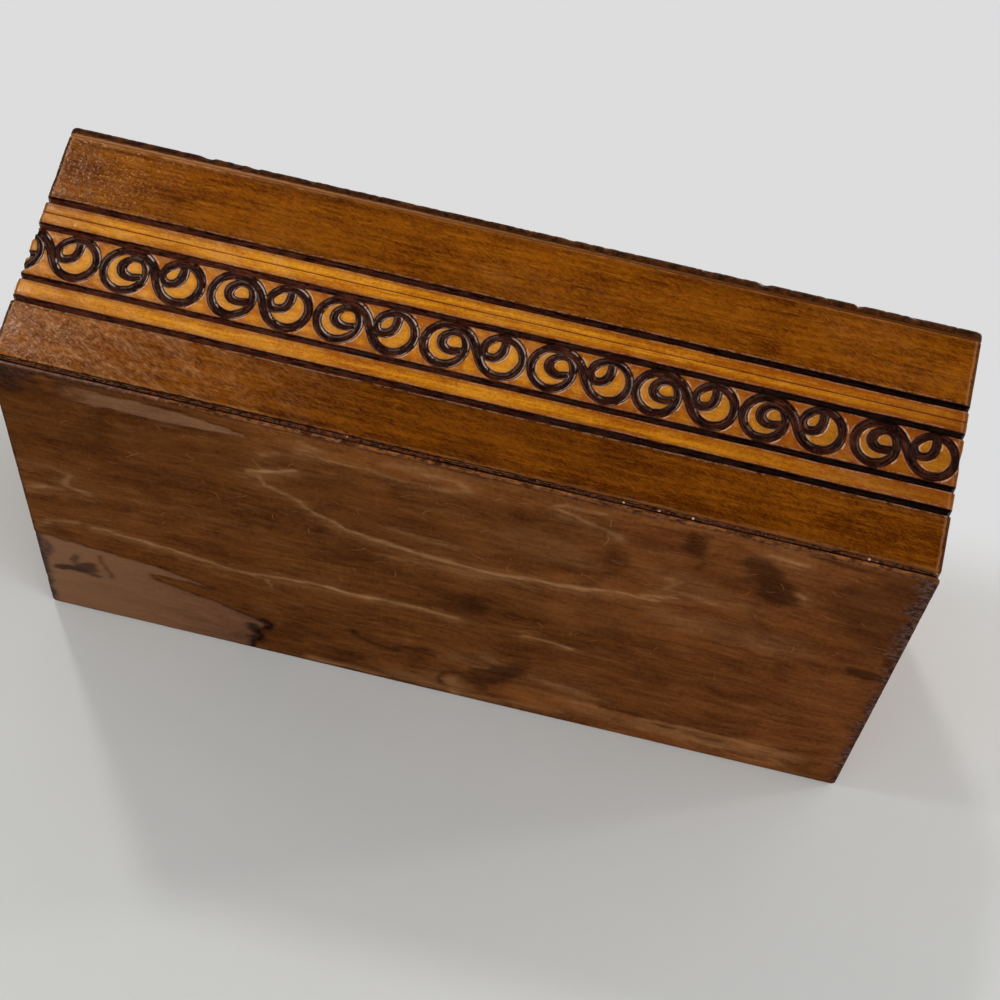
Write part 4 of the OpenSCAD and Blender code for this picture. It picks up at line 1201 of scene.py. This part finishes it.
def stained_board(name):
    """Underside and edge of the bottom board, with its figure, stains and burnt rims."""
    T = Tree(name)
    pale, dark, pool, tongue, burn, lum = (T.attr(k) for k in ("pale", "dark", "pool", "tongue", "burn", "lum"))
    x, y, z = T.split(T.mm)
    warp = T.vec("MULTIPLY_ADD", T.vec("SUBTRACT", T.noise(T.mm, 0.02, 2.0, 0.5, color=True), (0.5, 0.5, 0.5)), (0.0, 22.0, 0.0), T.mm)
    g1 = T.noise(T.vec("MULTIPLY", warp, (0.008, 0.09, 0.09)), 1.0, 4.0, 0.55, 0.4)
    g2 = T.noise(T.vec("MULTIPLY", warp, (0.06, 0.7, 0.7)), 1.0, 4.0, 0.7, 0.2)
    ray = T.noise(T.vec("MULTIPLY", T.mm, (1.3, 0.30, 1.3)), 1.0, 3.0, 0.65, 0.3)
    speck = T.noise(T.mm, 0.8, 4.0, 0.7)
    blot = T.noise(T.mm, 0.06, 4.0, 0.65, 0.6)
    tone = T.add(0.5, T.mul(T.math("SUBTRACT", g1, 0.5), 1.0), T.mul(T.math("SUBTRACT", g2, 0.5), 0.9), T.mul(T.math("SUBTRACT", ray, 0.5), 0.45),
                 T.mul(T.math("SUBTRACT", speck, 0.5), 0.8), T.mul(T.math("SUBTRACT", blot, 0.5), 1.2), T.mul(T.math("SUBTRACT", T.noise(T.vec("MULTIPLY", warp, (0.10, 0.26, 0.26)), 1.0, 4.0, 0.65, 0.8), 0.5), 1.1))
    tone = T.math("ADD", tone, 0.0, clamp=True)
    warm = T.mix(tone, lin(70, 34, 13), lin(123, 73, 32))
    # redder towards the right, greyer near the front's right end
    right = T.step(-30.0, 95.0, T.add(x, T.mul(T.math("SUBTRACT", blot, 0.5), 90.0)))
    base = T.mix(T.mul(right, 0.6), warm, T.mix(tone, lin(77, 36, 15), lin(129, 75, 36)))
    gain = T.math("MAXIMUM", T.add(0.5, lum), 0.2)
    base = T.mix(1.0, base, T.join(gain, T.math("POWER", gain, 1.1), T.math("POWER", gain, 1.2)), "MULTIPLY")
    base = T.mix(T.mul(pale, 0.97), base, T.mix(tone, lin(140, 97, 58), lin(178, 130, 88)))
    base = T.mix(T.mul(dark, 0.92), base, T.mix(T.step(0.84, 0.98, dark), T.mix(tone, lin(34, 15, 5), lin(68, 37, 20)), T.mix(tone, lin(16, 2, 0), lin(34, 11, 2))))
    clear = T.math("SUBTRACT", 1.0, T.mul(dark, 0.9))
    base = T.mix(T.mul(tongue, clear, 0.75), base, T.mix(tone, lin(118, 78, 50), lin(150, 106, 72)))
    grey = T.mix(T.step(-46.0, -96.0, T.add(x, T.mul(T.math("SUBTRACT", blot, 0.5), 40.0))), lin(92, 52, 28), lin(136, 98, 66))
    base = T.mix(T.mul(pool, clear, 0.74), base, T.mix(T.mul(tone, 0.8), grey, lin(146, 103, 74)))
    # a few dozen short curved scratches, most of them in the front half
    half = T.step(104.0, 60.0, T.add(y, 64.0))
    hair = T.math("MAXIMUM", T.hairs(T.mm, 0.10, 2.0, 0.12, 0.35), T.hairs(T.vec("ADD", T.mm, (31.0, 17.0, 0.0)), 0.13, 1.2, 0.10, 0.5))
    hair = T.mul(hair, T.add(0.25, T.mul(half, 0.75)), T.step(0.25, 0.05, z))
    dust = T.step(0.66, 0.80, T.noise(T.mm, 1.4, 2.0, 0.6))
    base = T.mix(T.mul(hair, 0.56), base, lin(176, 122, 74))
    base = T.mix(T.mul(dust, 0.16), base, lin(176, 124, 78))
    soot = T.noise(T.mm, 0.8, 3.0, 0.6)
    base = T.mix(T.mul(burn, 0.84), base, T.mix(T.step(0.0, 50.0, x), T.mix(T.step(0.3, 0.7, soot), lin(16, 8, 6), lin(76, 54, 48)), T.mix(T.step(0.35, 0.65, soot), lin(28, 18, 15), lin(104, 80, 72))))
    # the board's edge: redder, with rubbed grey-pink places, the cut top arris nearly black
    side = T.mul(T.attr("side"), T.step(0.1, 0.3, z))
    n = T.noise(T.vec("MULTIPLY", T.mm, (0.35, 0.35, 1.5)), 1.0, 4.0, 0.7)
    m = T.noise(T.mm, 0.9, 3.0, 0.65)
    edge = T.mix(T.step(0.3, 0.7, n), lin(62, 28, 8), lin(156, 96, 52))
    edge = T.mix(T.mul(T.step(0.52, 0.66, m), T.add(0.3, T.mul(T.step(10.0, -70.0, x), 0.5))), edge, lin(156, 112, 88))
    edge = T.mix(T.mul(T.step(0.48, 0.34, m), 0.6), edge, lin(44, 18, 6))
    sooty = T.step(-58.0, -82.0, T.add(x, T.mul(T.math("SUBTRACT", m, 0.5), 30.0)))
    edge = T.mix(T.mul(sooty, 0.62), edge, T.mix(m, lin(44, 30, 26), lin(150, 118, 102)))
    edge = T.mix(T.mul(T.step(92.0, 98.0, x), 0.65), edge, T.mix(m, lin(34, 20, 14), lin(92, 62, 44)))
    edge = T.mix(T.mul(T.step(0.8, 0.2, z), T.add(0.25, T.mul(sooty, 0.55))), edge, lin(30, 16, 10))
    edge = T.mix(T.step(1.0, 1.35, T.add(z, T.mul(n, 0.3))), edge, lin(24, 9, 3))
    base = T.mix(side, base, edge)
    T.put(T.bsdf.inputs["Base Color"], base)
    T.put(T.bsdf.inputs["Roughness"], T.add(0.55, T.mul(T.math("SUBTRACT", g2, 0.5), 0.3), T.mul(pool, -0.14), T.mul(tongue, -0.12)))
    fib = T.mul(T.add(ray, T.noise(T.vec("MULTIPLY", T.mm, (0.5, 3.2, 3.2)), 1.0, 3.0, 0.6)), 0.035)
    scr = T.add(T.mul(hair, 0.03), T.mul(dust, 0.02))
    wave = T.mul(T.noise(T.mm, 0.25, 2.0, 0.5), 0.05)
    rim = T.mul(T.add(pool, tongue), 0.05)
    T.put(T.bsdf.inputs["Normal"], T.bump(T.add(fib, scr, wave, rim)))
    T.bsdf.inputs["Specular IOR Level"].default_value = 0.0
    T.put(T.bsdf.inputs["Coat Weight"], T.add(0.015, T.mul(pool, 0.10), T.mul(tongue, 0.10)))
    T.bsdf.inputs["Coat Roughness"].default_value = 0.2
    T.put(T.bsdf.inputs["Coat Normal"], T.bump(T.add(T.mul(fib, 0.4), wave, scr, rim)))
    return T.mat


def bare(name, axis):
    """Unfinished pale wood inside."""
    T = Tree(name)
    g1 = T.noise(grain_space(T, axis, 0.02, 0.35), 1.0, 5.0, 0.6, 0.8)
    g2 = T.noise(grain_space(T, axis, 0.14, 2.2), 1.0, 5.0, 0.65)
    g3 = T.noise(grain_space(T, axis, 0.8, 6.0), 1.0, 3.0, 0.6)
    tone = T.remap(T.add(g1, T.mul(g2, 0.7), T.mul(g3, 0.3)), 0.72, 1.28, 0.0, 1.0)
    base = T.mix(tone, lin(186, 142, 92), lin(224, 188, 138))
    blot = T.noise(T.mm, 0.05, 3.0, 0.6)
    base = T.mix(T.mul(T.step(0.56, 0.75, blot), 0.35), base, lin(164, 112, 62))
    base = T.mix(T.mul(T.step(0.64, 0.74, T.noise(grain_space(T, axis, 0.4, 3.2), 1.0, 2.0, 0.5)), 0.35), base, lin(140, 94, 52))
    T.put(T.bsdf.inputs["Base Color"], base)
    T.put(T.bsdf.inputs["Roughness"], T.remap(g2, 0.3, 0.7, 0.62, 0.8))
    T.put(T.bsdf.inputs["Normal"], T.bump(T.add(T.mul(g3, 0.05), T.mul(g2, 0.03))))
    return T.mat


def glue(name):
    T = Tree(name)
    n = T.noise(T.mm, 1.1, 4.0, 0.65)
    m = T.noise(T.mm, 0.18, 3.0, 0.6)
    base = T.mix(T.step(0.36, 0.64, n), lin(10, 3, 1), lin(104, 50, 18))
    base = T.mix(T.mul(T.step(0.5, 0.7, m), 0.5), base, lin(104, 50, 16))
    dots, pick = T.cells(T.mm, 0.55, out=("Distance", "Color"))
    base = T.mix(T.mul(T.step(0.20, 0.10, dots), T.math("GREATER_THAN", T.split(pick)[0], 0.58), 0.9), base, lin(214, 176, 150))
    T.put(T.bsdf.inputs["Base Color"], base)
    T.put(T.bsdf.inputs["Roughness"], T.remap(n, 0.3, 0.7, 0.3, 0.5))
    h = T.add(T.mul(T.noise(T.mm, 1.6, 3.0, 0.6), 0.24), T.mul(T.cells(T.mm, 1.3), 0.06))
    T.put(T.bsdf.inputs["Normal"], T.bump(h))
    T.bsdf.inputs["Specular IOR Level"].default_value = 0.05
    T.bsdf.inputs["Coat Weight"].default_value = 0.22
    T.bsdf.inputs["Coat Roughness"].default_value = 0.12
    T.put(T.bsdf.inputs["Coat Normal"], T.bump(h))
    return T.mat


def metal(name, light, dark, tarnish, rough):
    T = Tree(name)
    n = T.noise(T.mm, 0.9, 5.0, 0.65, 0.4)
    m = T.noise(T.vec("MULTIPLY", T.mm, (0.6, 6.0, 6.0)), 1.0, 3.0, 0.6)
    spots = T.step(0.60, 0.72, T.noise(T.mm, 2.4, 3.0, 0.6))
    base = T.mix(T.remap(n, 0.35, 0.65, 0.0, 1.0), light, dark)
    base = T.mix(T.mul(spots, 0.55), base, tarnish)
    T.put(T.bsdf.inputs["Base Color"], base)
    T.bsdf.inputs["Metallic"].default_value = 1.0
    T.put(T.bsdf.inputs["Roughness"], T.add(rough, T.mul(T.math("SUBTRACT", m, 0.5), 0.2), T.mul(spots, 0.15)))
    T.put(T.bsdf.inputs["Normal"], T.bump(T.add(T.mul(m, 0.008), T.mul(n, 0.02), T.mul(spots, -0.01))))
    return T.mat


wood_x, wood_y = lacquered("lacquered_wood_x", "x"), lacquered("lacquered_wood_y", "y")
bare_x, bare_y = bare("bare_wood_x", "x"), bare("bare_wood_y", "y")
board_mat = stained_board("stained_board")
glue_mat = glue("dark_glue")
brass = metal("aged_brass", lin(196, 160, 92), lin(150, 112, 52), lin(84, 62, 34), 0.36)
steel = metal("pin_wire", lin(170, 168, 164), lin(120, 118, 114), lin(88, 66, 50), 0.34)


# ---------------------------------------------------------------- pieces

def place(ob, body, slot, *nodes):
    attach(ob, body)
    if nodes:
        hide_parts(*nodes)
    return ob


for side in ("front", "back", "left", "right"):
    mats = [wood_x, bare_x] if side in ("front", "back") else [wood_y, bare_y]
    step = 0.24 if side == "front" else 0.28
    place(wall(side + "_wall_carved", side, "base", step, mats), "base", "wall_wood", side + "_wall")
    place(wall("lid_" + side + "_rail_carved", side, "lid", max(step, 0.4), mats), "lid", "wall_wood", "lid_" + side + "_rail")
place(bottom_board([board_mat, bare_x]), "base", "board_wood", "bottom_board")
place(lid_panel([wood_x, bare_x]), "lid", "panel_wood", "lid_panel")
place(glue_bead([glue_mat]), "base", "board_wood")

for key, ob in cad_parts.items():
    if ob.hide_render:
        continue
    mat = steel if key.startswith("hinge_pin") else brass
    ob.data.materials.clear()
    ob.data.materials.append(mat)
    b = ob.modifiers.new("soft_edges", "BEVEL")
    b.width, b.segments, b.limit_method, b.angle_limit = 0.00006, 2, "ANGLE", math.radians(40)


# ---------------------------------------------------------------- stage

def sheet_plane(name, corners, mat):
    me = bpy.data.meshes.new(name)
    me.from_pydata([tuple(c) for c in corners], [], [(0, 1, 2, 3)])
    me.materials.append(mat)
    ob = bpy.data.objects.new(name, me)
    bpy.context.scene.collection.objects.link(ob)
    return ob


def pale_sheet(name, colour, mask=None):
    """A matt pale surface that is seen from its front only, and only where mask(T) is 1."""
    T = Tree(name)
    n = T.noise(T.mm, 0.012, 4.0, 0.6)
    f = T.noise(T.mm, 0.35, 3.0, 0.6)
    c = T.mix(T.remap(T.add(T.mul(n, 0.8), T.mul(f, 0.2)), 0.35, 0.65, 0.0, 1.0), tuple(0.97 * q for q in colour[:3]) + (1,), colour)
    T.put(T.bsdf.inputs["Base Color"], c)
    T.bsdf.inputs["Roughness"].default_value = 0.7
    T.bsdf.inputs["Specular IOR Level"].default_value = 0.2
    geo = T.t.nodes.new("ShaderNodeNewGeometry")
    clear = T.t.nodes.new("ShaderNodeBsdfTransparent")
    mixer = T.t.nodes.new("ShaderNodeMixShader")
    show = T.math("SUBTRACT", 1.0, geo.outputs["Backfacing"])
    if mask is not None:
        show = T.mul(show, mask(T))
    T.put(mixer.inputs[0], show)
    T.t.links.new(clear.outputs[0], mixer.inputs[1])
    T.t.links.new(T.bsdf.outputs[0], mixer.inputs[2])
    T.t.links.new(mixer.outputs[0], T.out.inputs[0])
    return T.mat


def table_mask(T):
    """The table under the lying box: open where the box itself stands, faded out behind it."""
    x, y, z = T.split(T.mm)
    hole = T.mul(T.step(99.2, 98.6, T.math("ABSOLUTE", x)), T.step(0.9, 1.5, z))
    return T.mul(T.step(80.0, 54.0, z), T.math("SUBTRACT", 1.0, hole))


PALE = lin(229, 230, 228)
table = sheet_plane("table_sheet", [(-1.6, 0.06415, -1.6), (1.6, 0.06415, -1.6), (1.6, 0.06415, 0.12), (-1.6, 0.06415, 0.12)],
                    pale_sheet("table_pale", PALE, table_mask))
floor = sheet_plane("floor", [(-4, -4, -0.00015), (4, -4, -0.00015), (4, 4, -0.00015), (-4, 4, -0.00015)],
                    pale_sheet("floor_pale", PALE))
floor.visible_diffuse = floor.visible_glossy = floor.visible_shadow = floor.visible_transmission = False


def lamp(name, direction, strength, size, colour):
    """A distant soft lamp: direction towards it, irradiance, and its width in degrees."""
    la = bpy.data.lights.new(name, "SUN")
    la.energy, la.angle, la.color = strength, math.radians(size), colour
    ob = bpy.data.objects.new(name, la)
    bpy.context.scene.collection.objects.link(ob)
    ob.rotation_euler = Vector(direction).to_track_quat("Z", "Y").to_euler()
    return ob


lamp("lamp_main", (-0.296, -0.842, 0.447), 0.44, 5.0, (1.0, 0.985, 0.96))
lamp("lamp_right", (0.79, -0.50, 0.356), 0.24, 5.0, (1.0, 0.98, 0.95))
lamp("lamp_left", (-0.82, -0.57, -0.06), 0.32, 7.0, (0.95, 0.98, 1.0))
lamp("lamp_low", (0.78, -0.57, -0.25), 0.12, 7.0, (1.0, 0.98, 0.96))
# these two come from behind the table's plane and light only the lid's top and the back
lamp("lamp_top", (0.25, 0.30, 1.0), 1.1, 12.0, (1.0, 0.99, 0.97))
lamp("lamp_back", (-0.45, 0.80, 0.42), 0.9, 12.0, (1.0, 0.99, 0.97))

world = bpy.data.worlds.new("studio")
bpy.context.scene.world = world
world.use_nodes = True


class Sky(Tree):
    def __init__(self):
        self.t = world.node_tree
        self.t.nodes.clear()
        self.out = self.t.nodes.new("ShaderNodeOutputWorld")
        self.light = self.t.nodes.new("ShaderNodeBackground")
        self.t.links.new(self.light.outputs[0], self.out.inputs[0])
        self.d = self.t.nodes.new("ShaderNodeTexCoord").outputs["Generated"]


def studio(up, right, down, left, behind, card, tint=(1.0, 1.0, 1.0)):
    """Soft room light over the table: a brightness for each side, one for the plain background
    behind the table, and one for a darker card overhead."""
    T = Sky()
    x, y, z = T.split(T.d)
    h = T.add(T.mul(x, x), T.mul(z, z), 1e-4)

    def side(v, k):
        v = T.math("MAXIMUM", v, 0.0)
        return T.mul(T.math("DIVIDE", T.mul(v, v), h), k)

    room = T.add(side(z, up), side(x, right), side(T.mul(z, -1.0), down), side(T.mul(x, -1.0), left))
    over = T.step(0.78, 0.93, T.vec("DOT_PRODUCT", T.d, tuple(Vector((-0.02, -0.88, 0.47)).normalized())))
    room = T.add(T.mul(room, T.math("SUBTRACT", 1.0, over)), T.mul(over, card))
    back = T.step(-0.12, 0.45, y)
    T.put(T.light.inputs[1], T.add(T.mul(room, T.math("SUBTRACT", 1.0, back)), T.mul(back, behind)))
    T.light.inputs[0].default_value = tint + (1.0,)


studio(1.3, 1.25, 0.58, 0.36, 0.72, 0.05)

view = bpy.context.scene.view_settings
view.view_transform = "Standard"
view.look = "None"

# ---------------------------------------------------------------- camera, fitted to the photo's box edges

cam = bpy.data.cameras.new("camera")
cam.lens, cam.sensor_width, cam.sensor_fit = 93.513, 36.0, "AUTO"
cam.clip_start, cam.clip_end = 0.01, 20.0
cam_ob = bpy.data.objects.new("camera", cam)
bpy.context.scene.collection.objects.link(cam_ob)
right = Vector((0.97278918, -0.05052524, 0.22611596))
up = Vector((-0.22621760, -0.41802147, 0.87982023))
behind = Vector((0.05006820, -0.90703101, -0.41807646))
m = Matrix((right, up, behind)).transposed().to_4x4()
m.translation = Vector((0.0359326, -0.5427510, -0.2247871))
cam_ob.matrix_world = m
bpy.context.scene.camera = cam_ob
